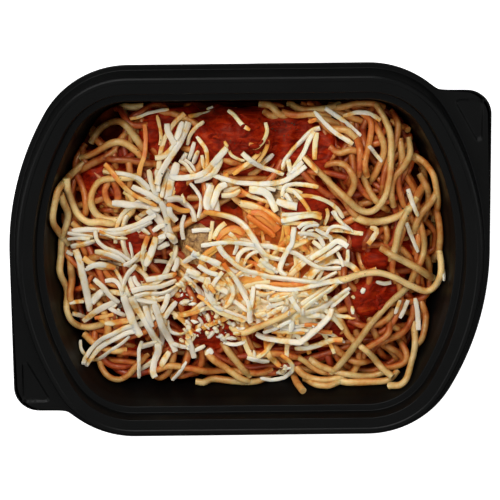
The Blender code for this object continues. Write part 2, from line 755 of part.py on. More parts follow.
def build():
    """Builds every part of the meal, from the tray up."""
    clear_scene()
    build_tray(finish("black_plastic", (0.008, 0.008, 0.008), 0.38))

    meat = finish("browned_meat", (0.16, 0.09, 0.05), 0.6)
    for name, x, y, half_width in MEATBALLS:
        meatball(name, x, y, half_width, material=meat)

    sauce_patch = Patch(SAUCE_MIDDLE, SAUCE_REACH)
    cheese_patch = Patch(CHEESE_MIDDLE, CHEESE_REACH)
    bare = inset_at(GRID_X, GRID_Y) > wall_inset(HEAP_SHOULDER_Z) + NOODLE_RADIUS + GAP
    for patch in (sauce_patch, cheese_patch):
        bare &= patch.inside(GRID_X, GRID_Y) < -TOPPING_CLEARANCE
    pasta = finish("sauced_pasta", (0.62, 0.33, 0.13), 0.4)
    strand_top = build_spaghetti(pasta, bare.astype(float))

    heap = heap_top(GRID_X, GRID_Y)
    sauce_ground = blanket(np.maximum(heap, ball_map(MEATBALLS[3:])))
    holes = [(x * MM, y * MM, half_width * MM + MEATBALL_LUMPS + GAP)
             for _, x, y, half_width in MEATBALLS[:3]]
    _, sauce_top = sheet("tomato_sauce", sauce_patch, SAUCE_CELL, sauce_ground, SAUCE_THICK,
                         finish("tomato_sauce", (0.26, 0.012, 0.004), 0.25), holes)

    support = np.maximum(np.maximum(heap, ball_map(MEATBALLS)), sauce_top)
    lifted = blanket(np.maximum(support, strand_top))
    build_cheese(finish("white_cheese", (0.82, 0.72, 0.52), 0.42), cheese_patch,
                 blanket(support), lifted)


build()
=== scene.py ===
"""The looks of spaghetti and meatballs in a black tray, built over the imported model. Metres, +Z up."""

import math
import random

import bmesh
import bpy
import numpy as np
from mathutils import Matrix, Vector, noise


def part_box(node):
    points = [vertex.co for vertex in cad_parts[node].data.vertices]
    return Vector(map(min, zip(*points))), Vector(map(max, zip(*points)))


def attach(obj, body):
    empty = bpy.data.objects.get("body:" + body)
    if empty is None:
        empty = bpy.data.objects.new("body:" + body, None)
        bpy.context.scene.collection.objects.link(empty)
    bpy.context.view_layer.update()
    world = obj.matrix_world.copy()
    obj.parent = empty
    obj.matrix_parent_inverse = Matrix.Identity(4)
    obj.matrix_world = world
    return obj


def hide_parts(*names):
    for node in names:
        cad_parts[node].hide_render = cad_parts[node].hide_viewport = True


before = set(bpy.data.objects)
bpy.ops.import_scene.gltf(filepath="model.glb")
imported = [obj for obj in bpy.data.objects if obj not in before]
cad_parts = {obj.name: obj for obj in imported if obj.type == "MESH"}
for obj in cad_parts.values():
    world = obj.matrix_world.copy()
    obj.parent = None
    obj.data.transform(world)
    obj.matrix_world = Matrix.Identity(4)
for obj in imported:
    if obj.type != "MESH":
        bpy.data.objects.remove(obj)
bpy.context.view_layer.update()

MM = 0.001

# Camera, light and floor. The view is from above the tray's far side, 17 degrees off the vertical
# and rolled a little. A wide softbox high beyond the far side is the key light, a little to the left;
# weak ones overhead and at the other sides draw the edges of the black rim.
VIEW_TILT = math.radians(17.0)
VIEW_ROLL = math.radians(0.607)
VIEW_DISTANCE = 1.332
VIEW_TARGET = Vector((0.0, 0.0, 0.040))
PICTURE = 500
FOCAL_PIXELS = 3134.0
CENTRE_U = 249.72
CENTRE_V = 259.0
SENSOR = 36.0
SOFTBOXES = (
    # name, place, width and height in metres, watts
    ("key_softbox", (-0.45, 1.15, 1.35), (1.4, 0.9), 25.0),
    ("overhead_softbox", (0.0, -0.3, 1.7), (2.6, 2.2), 7.2),
    ("left_softbox", (-1.15, -0.1, 0.85), (0.5, 1.1), 4.4),
    ("right_softbox", (1.15, -0.1, 0.85), (0.5, 1.1), 3.4),
    ("near_softbox", (0.1, -1.1, 0.7), (1.1, 0.5), 1.2),
)
FLOOR_HALF = 3.0
FLOOR_DROP = 0.2 * MM

view_back = Vector((0.0, math.sin(VIEW_TILT), math.cos(VIEW_TILT)))
level_right = Vector((1.0, 0.0, 0.0))
level_up = Vector((0.0, math.cos(VIEW_TILT), -math.sin(VIEW_TILT)))
view_right = level_right * math.cos(VIEW_ROLL) - level_up * math.sin(VIEW_ROLL)
view_up = level_right * math.sin(VIEW_ROLL) + level_up * math.cos(VIEW_ROLL)
eye = VIEW_TARGET + view_back * VIEW_DISTANCE


def plan(u, v, z):
    """Where the line of sight through the picture's point (u, v) meets height z."""
    across = (u - CENTRE_U) / FOCAL_PIXELS
    upward = (CENTRE_V - v) / FOCAL_PIXELS
    sight = [view_right[i] * across + view_up[i] * upward - view_back[i] for i in range(3)]
    reach = (z - eye.z) / sight[2]
    return eye.x + sight[0] * reach, eye.y + sight[1] * reach


def new_object(name, data):
    """A new object in the scene, at the origin."""
    thing = bpy.data.objects.new(name, data)
    bpy.context.scene.collection.objects.link(thing)
    return thing


def plug(tree, node, sockets):
    """Links or sets the named sockets of a node."""
    for key, value in sockets.items():
        if isinstance(value, bpy.types.NodeSocket):
            tree.links.new(value, node.inputs[key])
        else:
            node.inputs[key].default_value = value


camera_data = bpy.data.cameras.new("camera")
camera_data.sensor_fit = "HORIZONTAL"
camera_data.sensor_width = SENSOR
camera_data.lens = FOCAL_PIXELS * SENSOR / PICTURE
camera_data.shift_x = 0.5 - CENTRE_U / PICTURE
camera_data.shift_y = CENTRE_V / PICTURE - 0.5
camera = new_object("camera", camera_data)
camera_turn = Matrix((view_right, view_up, view_back)).transposed().to_4x4()
camera.matrix_world = Matrix.Translation(eye) @ camera_turn
bpy.context.scene.camera = camera
bpy.context.scene.view_settings.view_transform = "Standard"

for name, place, size, watts in SOFTBOXES:
    light = bpy.data.lights.new(name, "AREA")
    light.shape = "RECTANGLE"
    light.size, light.size_y = size
    light.energy = watts
    lamp = new_object(name, light)
    lamp.location = place
    lamp.rotation_euler = (VIEW_TARGET - Vector(place)).to_track_quat("-Z", "Y").to_euler()

room_light = bpy.data.worlds.new("room")
room_light.use_nodes = True
plug(room_light.node_tree, room_light.node_tree.nodes["Background"],
     {"Color": (1.0, 0.98, 0.96, 1.0), "Strength": 0.045})
bpy.context.scene.world = room_light

floor_mesh = bpy.data.meshes.new("floor")
floor_corners = [(x * FLOOR_HALF, y * FLOOR_HALF, -FLOOR_DROP)
                 for x, y in ((-1, -1), (1, -1), (1, 1), (-1, 1))]
floor_mesh.from_pydata(floor_corners, [], [(0, 1, 2, 3)])
floor = new_object("floor", floor_mesh)
floor.visible_glossy = False
paper = bpy.data.materials.new("white_paper")
paper.use_nodes = True
plug(paper.node_tree, paper.node_tree.nodes["Principled BSDF"],
     {"Base Color": (0.9, 0.9, 0.9, 1.0), "Roughness": 0.9,
      "Emission Color": (1.0, 1.0, 1.0, 1.0), "Emission Strength": 0.9})
floor_mesh.materials.append(paper)

# The tray: one sheet of black polypropylene, about 1 mm thick, formed over a mould. Its section runs
# round the plan outline: foot, sloping wall, ledge, step, flange, outer riser and lip. Two opposite
# corners of the lip reach out as tabs, each with a sunk triangle.
HALF_LENGTH = 102.8 * MM
HALF_WIDTH = 83.0 * MM
END_RADIUS = 124.5 * MM
CORNER_RADIUS = 41.1 * MM
TAB_INSET = 12.3 * MM
TAB_RADIUS = 10.7 * MM
TAB_BLEND = 0.8 * MM
TRAY_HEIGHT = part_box("tray")[1].z
SHEET = 1.0 * MM
LIP_Z = TRAY_HEIGHT - 8.9 * MM
LIP_WIDTH = 2.4 * MM
LIP_EDGE = 0.45 * MM
RIDGE_INSET = LIP_WIDTH + 1.2 * MM
BEAD_RISE = 0.3 * MM
FLANGE_INSET = RIDGE_INSET + 7.0 * MM
LEDGE_Z = TRAY_HEIGHT - 5.7 * MM
STEP_INSET = FLANGE_INSET + 1.4 * MM
WELL_INSET = STEP_INSET + 2.9 * MM
FLOOR_Z = 2.0 * MM
WALL_DRAFT = math.radians(14.4)
FOOT_WIDTH = 3.0 * MM
PANEL_RISE = 1.0 * MM
MARK_CORNERS = ((87.0, 66.4), (98.8, 66.4), (98.8, 44.8))
MARK_RADIUS = 1.4 * MM
MARK_DEPTH = 0.85 * MM
MARK_SOFTNESS = 0.65 * MM
TAB_RINGS = 44
ARC_STEPS = 4

END_X = HALF_LENGTH - END_RADIUS
CORNER_Y = HALF_WIDTH - CORNER_RADIUS
CORNER_X = END_X + math.sqrt((END_RADIUS - CORNER_RADIUS) ** 2 - CORNER_Y ** 2)
MEET = math.atan2(CORNER_Y, CORNER_X - END_X)


def wall_inset(z):
    """Distance of the well's inner wall from the lip's edge at height z."""
    return WELL_INSET + (LEDGE_Z - z) * math.tan(WALL_DRAFT)


def tray_outline(end_steps, corner_steps, straight_steps):
    """Points and outward normals round the lip's edge, and whether each lies in a tab's quarter."""
    turns = np.concatenate([np.linspace(0.0, MEET, end_steps, endpoint=False),
                            np.linspace(MEET, math.pi / 2, corner_steps, endpoint=False)])
    on_end = turns < MEET
    x = np.where(on_end, END_X + END_RADIUS * np.cos(turns),
                 CORNER_X + CORNER_RADIUS * np.cos(turns))
    y = np.where(on_end, END_RADIUS * np.sin(turns), CORNER_Y + CORNER_RADIUS * np.sin(turns))
    straight = np.linspace(CORNER_X, 0.0, straight_steps)
    x = np.append(x, straight)
    y = np.append(y, np.full(straight_steps, HALF_WIDTH))
    nx = np.append(np.cos(turns), np.zeros(straight_steps))
    ny = np.append(np.sin(turns), np.ones(straight_steps))
    half = [np.append(x[:-1], -x[:0:-1]), np.append(y[:-1], y[:0:-1]),
            np.append(nx[:-1], -nx[:0:-1]), np.append(ny[:-1], ny[:0:-1])]
    tab = np.append(np.ones(len(x) - 1), np.zeros(len(x) - 1))
    return [np.append(part, -part) for part in half] + [np.append(tab, tab)]


def tab_reach(x, y, nx, ny):
    """How far a tab stands out past the lip, measured along the lip's normal."""
    x, y, nx, ny = np.abs(x), np.abs(y), np.maximum(np.abs(nx), 1e-4), np.maximum(np.abs(ny), 1e-4)
    tab_y = HALF_WIDTH - TAB_INSET
    middle_x, middle_y = HALF_LENGTH - TAB_RADIUS, tab_y - TAB_RADIUS
    to_end = (HALF_LENGTH - x) / nx
    to_side = (tab_y - y) / ny
    to_side = (to_side + np.hypot(to_side, 2 * TAB_BLEND)) / 2
    reach = np.minimum(to_end, to_side)
    dx, dy = x - middle_x, y - middle_y
    along = dx * nx + dy * ny
    to_round = -along + np.sqrt(np.maximum(along ** 2 - dx ** 2 - dy ** 2 + TAB_RADIUS ** 2, 0.0))
    past_both = (x + nx * reach > middle_x) & (y + ny * reach > middle_y)
    return np.where(past_both, np.minimum(reach, to_round), reach)


def rounded_section(corners):
    """Points (inset, height) of a section whose corners (inset, height, radius) turn on arcs."""
    points = []
    for i, (inset, z, radius) in enumerate(corners):
        corner = Vector((inset, z))
        if radius == 0.0:
            points.append(corner)
            continue
        back = (Vector(corners[i - 1][:2]) - corner).normalized()
        on = (Vector(corners[i + 1][:2]) - corner).normalized()
        half = back.angle(on) / 2
        middle = corner + (back + on).normalized() * radius / math.sin(half)
        first = corner + back * radius / math.tan(half) - middle
        last = corner + on * radius / math.tan(half) - middle
        for step in range(ARC_STEPS + 1):
            points.append(middle + first.slerp(last, step / ARC_STEPS) * radius)
    return points


def mark_depth(x, y):
    """Depth of the sunk triangle, its corners rounded, at plan points on either tab."""
    corners = [Vector(corner) * MM for corner in MARK_CORNERS]
    inner = []
    for i, corner in enumerate(corners):
        back = (corners[i - 1] - corner).normalized()
        on = (corners[(i + 1) % 3] - corner).normalized()
        inner.append(corner + (back + on).normalized() * MARK_RADIUS / math.sin(back.angle(on) / 2))
    x, y = np.abs(x), np.abs(y)
    inside, away = np.full_like(x, 1.0), np.full_like(x, 1.0)
    for i, corner in enumerate(inner):
        side = inner[(i + 1) % 3] - corner
        length = side.length
        side.normalize()
        along = np.clip((x - corner.x) * side.x + (y - corner.y) * side.y, 0.0, length)
        away = np.minimum(away, np.hypot(x - corner.x - along * side.x, y - corner.y - along * side.y))
        inside = np.minimum(inside, (x - corner.x) * side.y - (y - corner.y) * side.x)
    reach = MARK_RADIUS + np.where(inside > 0, away, -away)
    blend = np.clip(reach / MARK_SOFTNESS + 0.5, 0.0, 1.0)
    return MARK_DEPTH * blend * blend * (3 - 2 * blend)


def new_piece(name, verts, faces, material):
    """A closed mesh object at the origin, its faces turned outwards."""
    mesh = bpy.data.meshes.new(name)
    mesh.from_pydata(verts, [], faces)
    mesh.validate()
    turned = bmesh.new()
    turned.from_mesh(mesh)
    bmesh.ops.recalc_face_normals(turned, faces=turned.faces)
    turned.to_mesh(mesh)
    turned.free()
    mesh.shade_smooth()
    mesh.materials.append(material)
    return new_object(name, mesh)


def skin(rings):
    """Quads between closed rings of equal counts, with a cap on the first and the last."""
    count = len(rings[0])
    verts = [tuple(point) for ring in rings for point in ring]
    faces = []
    for low in range(0, len(verts) - count, count):
        for i in range(count):
            j = (i + 1) % count
            faces.append((low + i, low + j, low + count + j, low + count + i))
    faces.append(tuple(reversed(range(count))))
    faces.append(tuple(range(len(verts) - count, len(verts))))
    return verts, faces


def put(tree, kind, sockets=None, **settings):
    """Adds a node to a tree, with its settings, and links or sets the sockets named."""
    node = tree.nodes.new(kind)
    node.location = (220 * (len(tree.nodes) % 12), -260 * (len(tree.nodes) // 12))
    for key, value in settings.items():
        setattr(node, key, value)
    plug(tree, node, sockets or {})
    return node


def new_surface(name):
    """A material, its node tree, its shader and its object coordinates."""
    material = bpy.data.materials.new(name)
    material.use_nodes = True
    tree = material.node_tree
    place = put(tree, "ShaderNodeTexCoord").outputs["Object"]
    return material, tree, tree.nodes["Principled BSDF"], place


def speckle(tree, place, scale, detail, **more):
    """Noise of a scale at each place, as a value round 0.5."""
    return put(tree, "ShaderNodeTexNoise",
               {"Vector": place, "Scale": scale, "Detail": detail, **more}).outputs["Fac"]


def mapped(tree, value, low, high, to_low, to_high):
    """A value taken from one range to another and held inside it."""
    return put(tree, "ShaderNodeMapRange", {"Value": value, "From Min": low, "From Max": high,
                                            "To Min": to_low, "To Max": to_high}).outputs["Result"]


def calc(tree, operation, *values):
    """A sum, a product or the like of numbers or sockets."""
    return put(tree, "ShaderNodeMath", dict(enumerate(values)), operation=operation).outputs[0]


def tint_mix(tree, share, first, second, how="MIX"):
    """Two colours mixed by a share."""
    return put(tree, "ShaderNodeMix", {"Factor": share, 6: first, 7: second},
               data_type="RGBA", blend_type=how).outputs[2]


def colour_ramp(tree, value, first, *later):
    """The colour at a value, from stops that each give a position and then red, green and blue."""
    node = put(tree, "ShaderNodeValToRGB", {"Fac": value})
    stops = node.color_ramp.elements
    for stop, (position, *colour) in zip(stops, (first, later[-1])):
        stop.position = position
        stop.color = (*colour, 1.0)
    for position, *colour in later[:-1]:
        stops.new(position).color = (*colour, 1.0)
    return node.outputs["Color"]


def bump(tree, height, strength, distance):
    """The normal of a surface roughened by a height."""
    return put(tree, "ShaderNodeBump", {"Height": height, "Strength": strength,
                                        "Distance": distance}).outputs["Normal"]


plastic, tree, shader, place = new_surface("black_polypropylene")
flow = speckle(tree, place, 38.0, 4.0, Distortion=0.6)
tint = tint_mix(tree, flow, (0.0018, 0.0020, 0.0020, 1.0), (0.0036, 0.0037, 0.0036, 1.0))
height_here = put(tree, "ShaderNodeSeparateXYZ", {"Vector": place}).outputs["Z"]
# Below the lip, in the well, the plastic is rougher and its colour darker: the darker colour is painted
# shade, for the shade its walls cast.
well_matt_and_shade = mapped(tree, height_here, LIP_Z - 1.5 * MM, LIP_Z - 4 * MM, 0.0, 1.0)
rubbed = mapped(tree, flow, 0.3, 0.7, 0.33, 0.40)
plug(tree, shader, {
    "Base Color": tint_mix(tree, well_matt_and_shade, tint, (0.0006, 0.0005, 0.0004, 1.0)),
    "Roughness": calc(tree, "MULTIPLY_ADD", well_matt_and_shade, 0.15, rubbed),
    "Normal": bump(tree, speckle(tree, place, 1400.0, 3.0), 0.12, 0.12 * MM),
    "Specular IOR Level": 0.125})

x, y, nx, ny, in_tab = tray_outline(64, 96, 12)
tab = np.maximum(tab_reach(x, y, nx, ny), 0.0) * in_tab
side = SHEET / math.cos(WALL_DRAFT)
foot_outer = wall_inset(0.0) - side
section = rounded_section([
    (wall_inset(FLOOR_Z) + 8 * MM, FLOOR_Z, 0.0),
    (wall_inset(FLOOR_Z), FLOOR_Z, 3.0 * MM),
    (WELL_INSET, LEDGE_Z, 0.45 * MM),
    (STEP_INSET, LEDGE_Z, 0.4 * MM),
    (FLANGE_INSET, TRAY_HEIGHT - BEAD_RISE, 0.4 * MM),
    (RIDGE_INSET + 2.5 * MM, TRAY_HEIGHT - BEAD_RISE, 0.4 * MM),
    (RIDGE_INSET + 2.0 * MM, TRAY_HEIGHT, 0.4 * MM),
    (RIDGE_INSET + 0.8 * MM, TRAY_HEIGHT - 0.05 * MM, 0.6 * MM),
    (RIDGE_INSET, TRAY_HEIGHT - 0.6 * MM, 0.4 * MM),
    (LIP_WIDTH, LIP_Z, 0.35 * MM),
    (LIP_WIDTH - 0.8 * MM, LIP_Z, 0.0)])
tab_start = LIP_WIDTH - 0.8 * MM
section += [Vector((tab_start + (LIP_EDGE - tab_start) * i / TAB_RINGS, LIP_Z))
            for i in range(1, TAB_RINGS)]
section += rounded_section([
    (LIP_EDGE + 0.1 * MM, LIP_Z, 0.0),
    (0.0, LIP_Z, LIP_EDGE),
    (0.0, LIP_Z - SHEET, LIP_EDGE),
    (LIP_EDGE + 0.1 * MM, LIP_Z - SHEET, 0.0)])
section += rounded_section([
    (tab_start, LIP_Z - SHEET, 0.0),
    (LIP_WIDTH + SHEET, LIP_Z - SHEET, 0.3 * MM),
    (RIDGE_INSET + SHEET, TRAY_HEIGHT - SHEET, 0.3 * MM),
    (FLANGE_INSET - SHEET, TRAY_HEIGHT - SHEET, 0.3 * MM),
    (STEP_INSET - SHEET, LEDGE_Z - SHEET, 0.3 * MM),
    (WELL_INSET - side, LEDGE_Z - SHEET, 0.3 * MM),
    (foot_outer, 0.0, 1.5 * MM),
    (foot_outer + FOOT_WIDTH, 0.0, 0.4 * MM),
    (foot_outer + FOOT_WIDTH + PANEL_RISE, PANEL_RISE, 0.4 * MM),
    (foot_outer + FOOT_WIDTH + PANEL_RISE + 4 * MM, PANEL_RISE, 0.0)])
rings = []
for i, (inset, z) in enumerate(section):
    share = min(max((tab_start - inset) / (tab_start - LIP_EDGE), 0.0), 1.0)
    out = tab * share - inset
    ring_x, ring_y = x + nx * out, y + ny * out
    on_top = z > LIP_Z - 0.01 * MM and inset < tab_start
    ring_z = z - (mark_depth(ring_x, ring_y) if on_top else 0.0) * np.ones_like(x)
    rings.append(np.stack([ring_x, ring_y, ring_z], axis=1))
tray = new_piece("formed_tray", *skin(rings), plastic)
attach(tray, "root")
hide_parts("tray")

# The bed of the heap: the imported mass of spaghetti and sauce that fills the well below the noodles
# that show. Its top is the ground that every later piece is laid on, kept as a map of heights.
CELL = 0.5 * MM
COLUMNS = 180
ROWS = 140
GRID_X, GRID_Y = np.meshgrid(np.arange(-COLUMNS, COLUMNS + 1) * CELL,
                             np.arange(-ROWS, ROWS + 1) * CELL)
BED_EDGE_Z = 9.0 * MM
BED_SHOULDER_Z = 15.5 * MM
BED_MIDDLE_Z = 19.5 * MM
BED_GAP = 0.6 * MM
PITS = (
    # u, v, half size in pixels, depth in mm
    (180, 319, 8, 5.5),
    (213, 360, 8, 5.0),
    (367, 365, 8, 5.0),
    (84, 308, 5, 4.0),
    (179, 215, 4, 4.0),
    (180, 241, 4, 5.0),
    (418, 172, 9, 6.0),
    (426, 197, 6, 5.0),
    (425, 243, 8, 5.0),
    (412, 124, 9, 6.0),
    (96, 316, 5, 3.0),
    (330, 172, 4, 3.0),
    (104, 122, 20, 6.0),
    (88, 146, 9, 4.0),
)
PIXEL = VIEW_DISTANCE / FOCAL_PIXELS
SHOULDER_SPAN = 11.0 * MM
CROWN_START = 6.0 * MM
CROWN_SPAN = 28.0 * MM
BED_LUMP = 0.7 * MM
PIT_CORE = 0.4


def ease(value):
    """Smooth step from 0 to 1."""
    value = np.clip(value, 0.0, 1.0)
    return value * value * (3 - 2 * value)


def lip_distance(x, y):
    """Distance in from the lip's edge at plan points."""
    x, y = np.abs(x), np.abs(y)
    to_end = END_RADIUS - np.hypot(x - END_X, y)
    to_corner = CORNER_RADIUS - np.hypot(x - CORNER_X, y - CORNER_Y)
    in_corner = (x > CORNER_X) & (y > (x - END_X) * math.tan(MEET))
    return np.where(in_corner, to_corner, np.minimum(to_end, HALF_WIDTH - y))


def away_from(x, y, u, v, z, reach):
    """Plan distance, as a share of a reach, from the picture's point (u, v) at height z."""
    seen_x, seen_y = plan(u, v, z)
    return np.hypot(x - seen_x, y - seen_y) / reach


def bed_height(x, y):
    """Height of the bed: low at the wall, a shoulder, then a low crown with pits."""
    inward = lip_distance(x, y) - wall_inset(BED_EDGE_Z) - BED_GAP
    rise = (BED_SHOULDER_Z - BED_EDGE_Z) * ease(inward / SHOULDER_SPAN)
    crown = (BED_MIDDLE_Z - BED_SHOULDER_Z) * ease((inward - CROWN_START) / CROWN_SPAN)
    lumps = np.sin(x / (9 * MM) + 1.0) * np.cos(y / (8 * MM)) * BED_LUMP
    height = BED_EDGE_Z + rise + crown + lumps * ease(inward / (9 * MM))
    for u, v, pixels, tone_and_corner_shade in PITS:
        away = away_from(x, y, u, v, BED_SHOULDER_Z, pixels * PIXEL)
        height = height - tone_and_corner_shade * MM * (1 - ease(away - PIT_CORE)) * ease(inward / (7 * MM))
    return height


mash, tree, shader, place = new_surface("packed_pasta_and_sauce")
patches = speckle(tree, place, 120.0, 4.0)
plug(tree, shader, {
    "Base Color": colour_ramp(tree, patches, (0.4, 0.020, 0.0015, 0.0005), (0.66, 0.13, 0.018, 0.004)),
    "Normal": bump(tree, patches, 0.5, 1.0 * MM),
    "Roughness": 0.6,
    "Specular IOR Level": 0.1,
    "Specular Tint": (1.0, 0.35, 0.2, 1.0)})

x, y, nx, ny, _ = tray_outline(20, 18, 10)
bed_rings = []
for inset, z in ((wall_inset(FLOOR_Z) + 3 * MM, FLOOR_Z + BED_GAP),
                 (wall_inset(FLOOR_Z + 3 * MM) + BED_GAP, FLOOR_Z + 3 * MM)):
    bed_rings.append(np.stack([x - nx * inset, y - ny * inset, np.full_like(x, z)], axis=1))
edge = wall_inset(BED_EDGE_Z) + BED_GAP
deepest = CORNER_RADIUS - MM
insets = [edge + (deepest - edge) * share for share in np.linspace(0.0, 1.0, 14)]
plan_rings = [(x - nx * inset, y - ny * inset) for inset in insets]
plan_rings += [((x - nx * deepest) * scale, (y - ny * deepest) * scale)
               for scale in np.linspace(0.9, 0.05, 18)]
for ring_x, ring_y in plan_rings:
    bed_rings.append(np.stack([ring_x, ring_y, bed_height(ring_x, ring_y)], axis=1))
bed = new_piece("pasta_bed", *skin(bed_rings), mash)
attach(bed, "root")
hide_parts("spaghetti")

top = bed_height(GRID_X, GRID_Y)

# The meatballs: four browned balls of minced meat, about 32 mm across, set into the bed before the
# noodles. The mince leaves their surface crumbly, with pits where fat has melted out.
MEATBALL_COUNT = 4
MEATBALL_SQUASH = 0.87
MEATBALL_ROUNDS = 5
MEATBALL_INSET = 0.3 * MM
MINCE_LUMP = 0.9 * MM
MINCE_LUMP_SIZE = 8.0 * MM
MINCE_PIT = 0.7 * MM
MINCE_PIT_SIZE = 2.6 * MM

meat, tree, shader, place = new_surface("browned_mince")
crumble = speckle(tree, place, 420.0, 6.0, Roughness=0.65)
grains = put(tree, "ShaderNodeTexVoronoi", {"Vector": place, "Scale": 620.0}).outputs["Distance"]
plug(tree, shader, {
    "Base Color": colour_ramp(tree, crumble, (0.36, 0.14, 0.056, 0.014), (0.52, 0.40, 0.215, 0.067),
                              (0.68, 0.64, 0.40, 0.150)),
    "Normal": bump(tree, calc(tree, "ADD", crumble, grains), 0.8, 0.8 * MM),
    "Roughness": 0.55,
    "Coat Weight": 0.15,
    "Coat Roughness": 0.3})

balls = []
for number in range(1, MEATBALL_COUNT + 1):
    low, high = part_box(f"meatball_{number}")
    middle, half_width = (low + high) / 2, (high.x - low.x) / 2
    balls.append((middle, half_width))
    ball_bm = bmesh.new()
    bmesh.ops.create_icosphere(ball_bm, subdivisions=MEATBALL_ROUNDS, radius=1.0)
    for vert in ball_bm.verts:
        way = vert.co.normalized()
        spot = way * half_width + middle
        lump = noise.fractal(spot / MINCE_LUMP_SIZE, 0.6, 2.0, 3) * MINCE_LUMP
        pit = noise.turbulence(spot / MINCE_PIT_SIZE, 3, True) * MINCE_PIT
        radius = half_width - MEATBALL_INSET + lump - pit
        vert.co = middle + Vector((way.x, way.y, way.z * MEATBALL_SQUASH)) * radius
    ball_bm.verts.index_update()
    ball = new_piece(f"browned_meatball_{number}", [vert.co[:] for vert in ball_bm.verts],
                     [[vert.index for vert in face.verts] for face in ball_bm.faces], meat)
    ball_bm.free()
    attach(ball, "root")
    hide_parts(f"meatball_{number}")
    away = (GRID_X - middle.x) ** 2 + (GRID_Y - middle.y) ** 2
    dome = middle.z + MEATBALL_SQUASH * np.sqrt(np.maximum(half_width ** 2 - away, 0.0))
    top = np.where(away < half_width ** 2, np.maximum(top, dome), top)

# The lower noodles: boiled spaghetti about 3 mm thick, tossed in sauce, so it is stained orange all
# over. They lie in loose loops on the bed, bend along the tray's wall and go round the meatballs.
NOODLE_HALF = 1.5 * MM
NOODLE_MARGIN = 1.0 * MM
ROOM_SPARE = 0.2 * MM
NOODLE_DIVE = 3.0 * MM
NOODLE_DIVE_REACH = 7.0 * MM
LOWER_COUNT = 125
LOWER_TRIES = 900
LOWER_LIFT = NOODLE_HALF * 0.35
LOWER_STIFFNESS = 30
LOWER_PILE = 8.0 * MM
LOWER_LENGTH = (60 * MM, 115 * MM)
LOWER_BEND = 60
LOWER_SHORTEST = 12
LOWER_STAIN = (0.5, 0.95)
LOWER_SPACING = 1.8 * MM
LOWER_SIDES = 8
LOWER_SEED = 4
DARKEST_NOODLE = 0.5
WALL_GAP = 0.25 * MM
# Painted shade: noodles in these corners are drawn darker, as they lie in shade there.
SHADED_CORNERS = (
    # u, v, reach in mm, how much darker
    (82, 112, 40, 0.75),
    (432, 352, 34, 0.45),
)

# A strand drawn at random: its steps, how its bend changes, and how far ahead it looks for space.
STRAND_STEP = 0.9 * MM
TIGHTEST_BEND = 1 / (9 * MM)
BEND_DRIFT = 2.5
LOOK_AHEAD = 4 * MM
TURN_ASIDE = 0.12
TOO_CLOSE = 0.8 * MM
TOO_DEEP = -1.5 * MM
START_X = 84
START_Y = 64
START_TRIES = 40
REST_SPREAD = 0.7
LAST_PASSES = 4
WALL_PASSES = 3
ANY_TURN = 6.28
GIRTH_RANGE = (0.93, 1.07)
GIRTH_WAVE = 7 * MM


def read_top(x, y, field=None):
    """Heights of the ground map, or of another map, at plan points, between its cells."""
    field = top if field is None else field
    column = np.clip(np.asarray(x) / CELL + COLUMNS, 0, 2 * COLUMNS - 1.001)
    row = np.clip(np.asarray(y) / CELL + ROWS, 0, 2 * ROWS - 1.001)
    i, j = column.astype(int), row.astype(int)
    u, v = column - i, row - j
    low = field[j, i] * (1 - u) + field[j, i + 1] * u
    high = field[j + 1, i] * (1 - u) + field[j + 1, i + 1] * u
    return low * (1 - v) + high * v


def raise_top(x, y, z, half_width, half_thick):
    """Raises the ground map to the upper side of a strand."""
    reach = int(half_width / CELL) + 1
    steps = np.arange(-reach, reach + 1)
    step_x, step_y = [part.ravel() for part in np.meshgrid(steps, steps)]
    i = np.round(x / CELL).astype(int)[:, None] + step_x + COLUMNS
    j = np.round(y / CELL).astype(int)[:, None] + step_y + ROWS
    i, j = np.clip(i, 0, 2 * COLUMNS), np.clip(j, 0, 2 * ROWS)
    away = ((i - COLUMNS) * CELL - x[:, None]) ** 2 + ((j - ROWS) * CELL - y[:, None]) ** 2
    dome = z[:, None] + half_thick * np.sqrt(np.maximum(1 - away / half_width ** 2, 0.0))
    dome = np.where(away < half_width ** 2, dome, 0.0)
    np.maximum.at(top, (j, i), dome)


def even_out(z, passes, support=-math.inf):
    """Evens out the heights along a strand, but lets none fall below its support."""
    for _ in range(passes):
        padded = np.pad(z, 1, mode="edge")
        z = np.maximum((padded[:-2] + 2 * z + padded[2:]) / 4, support)
    return z


def rest(x, y, half_width, lift, stiffness):
    """Heights of a strand's middle line where it lies on the ground map, bridging small dips."""
    spread = REST_SPREAD * half_width
    under = [read_top(x + dx, y + dy) for dx, dy in
             ((0, 0), (spread, 0), (-spread, 0), (0, spread), (0, -spread))]
    support = np.max(under, axis=0) + lift
    return even_out(even_out(support, stiffness, support), LAST_PASSES)


def keep_in(x, y, z, half_width):
    """Moves a strand's points that would pass through the wall back inside it."""
    least = wall_inset(z - half_width / 2) + half_width + WALL_GAP
    for _ in range(WALL_PASSES):
        short = np.clip(least - lip_distance(x, y), 0.0, None)
        turn_x = (lip_distance(x + CELL, y) - lip_distance(x - CELL, y)) / (2 * CELL)
        turn_y = (lip_distance(x, y + CELL) - lip_distance(x, y - CELL)) / (2 * CELL)
        x, y = x + turn_x * short, y + turn_y * short
    return x, y


def tuck(x, y, z):
    """Sinks both ends of a noodle among its neighbours."""
    along = np.concatenate([[0.0], np.cumsum(np.hypot(np.diff(x), np.diff(y)))])
    to_end = np.minimum(along, along[-1] - along)
    return z - NOODLE_DIVE * (1 - ease(to_end / NOODLE_DIVE_REACH)) ** 2


def settle(x, y, z):
    """Tucks in a noodle's ends, keeps it off the wall and raises the ground map by it."""
    z = tuck(x, y, z)
    x, y = keep_in(x, y, z, NOODLE_HALF)
    raise_top(x, y, z, NOODLE_HALF, NOODLE_HALF)
    return x, y, z


def free_of(x, y, margin, wall_z, spots, spots_z):
    """Free distance in plan to the wall, less a margin, and to the spots of the picture listed."""
    free = float(lip_distance(x, y)) - wall_inset(wall_z) - margin
    for u, v, pixels, _ in spots:
        free = min(free, math.dist((x, y), plan(u, v, spots_z)) - pixels * PIXEL)
    return free


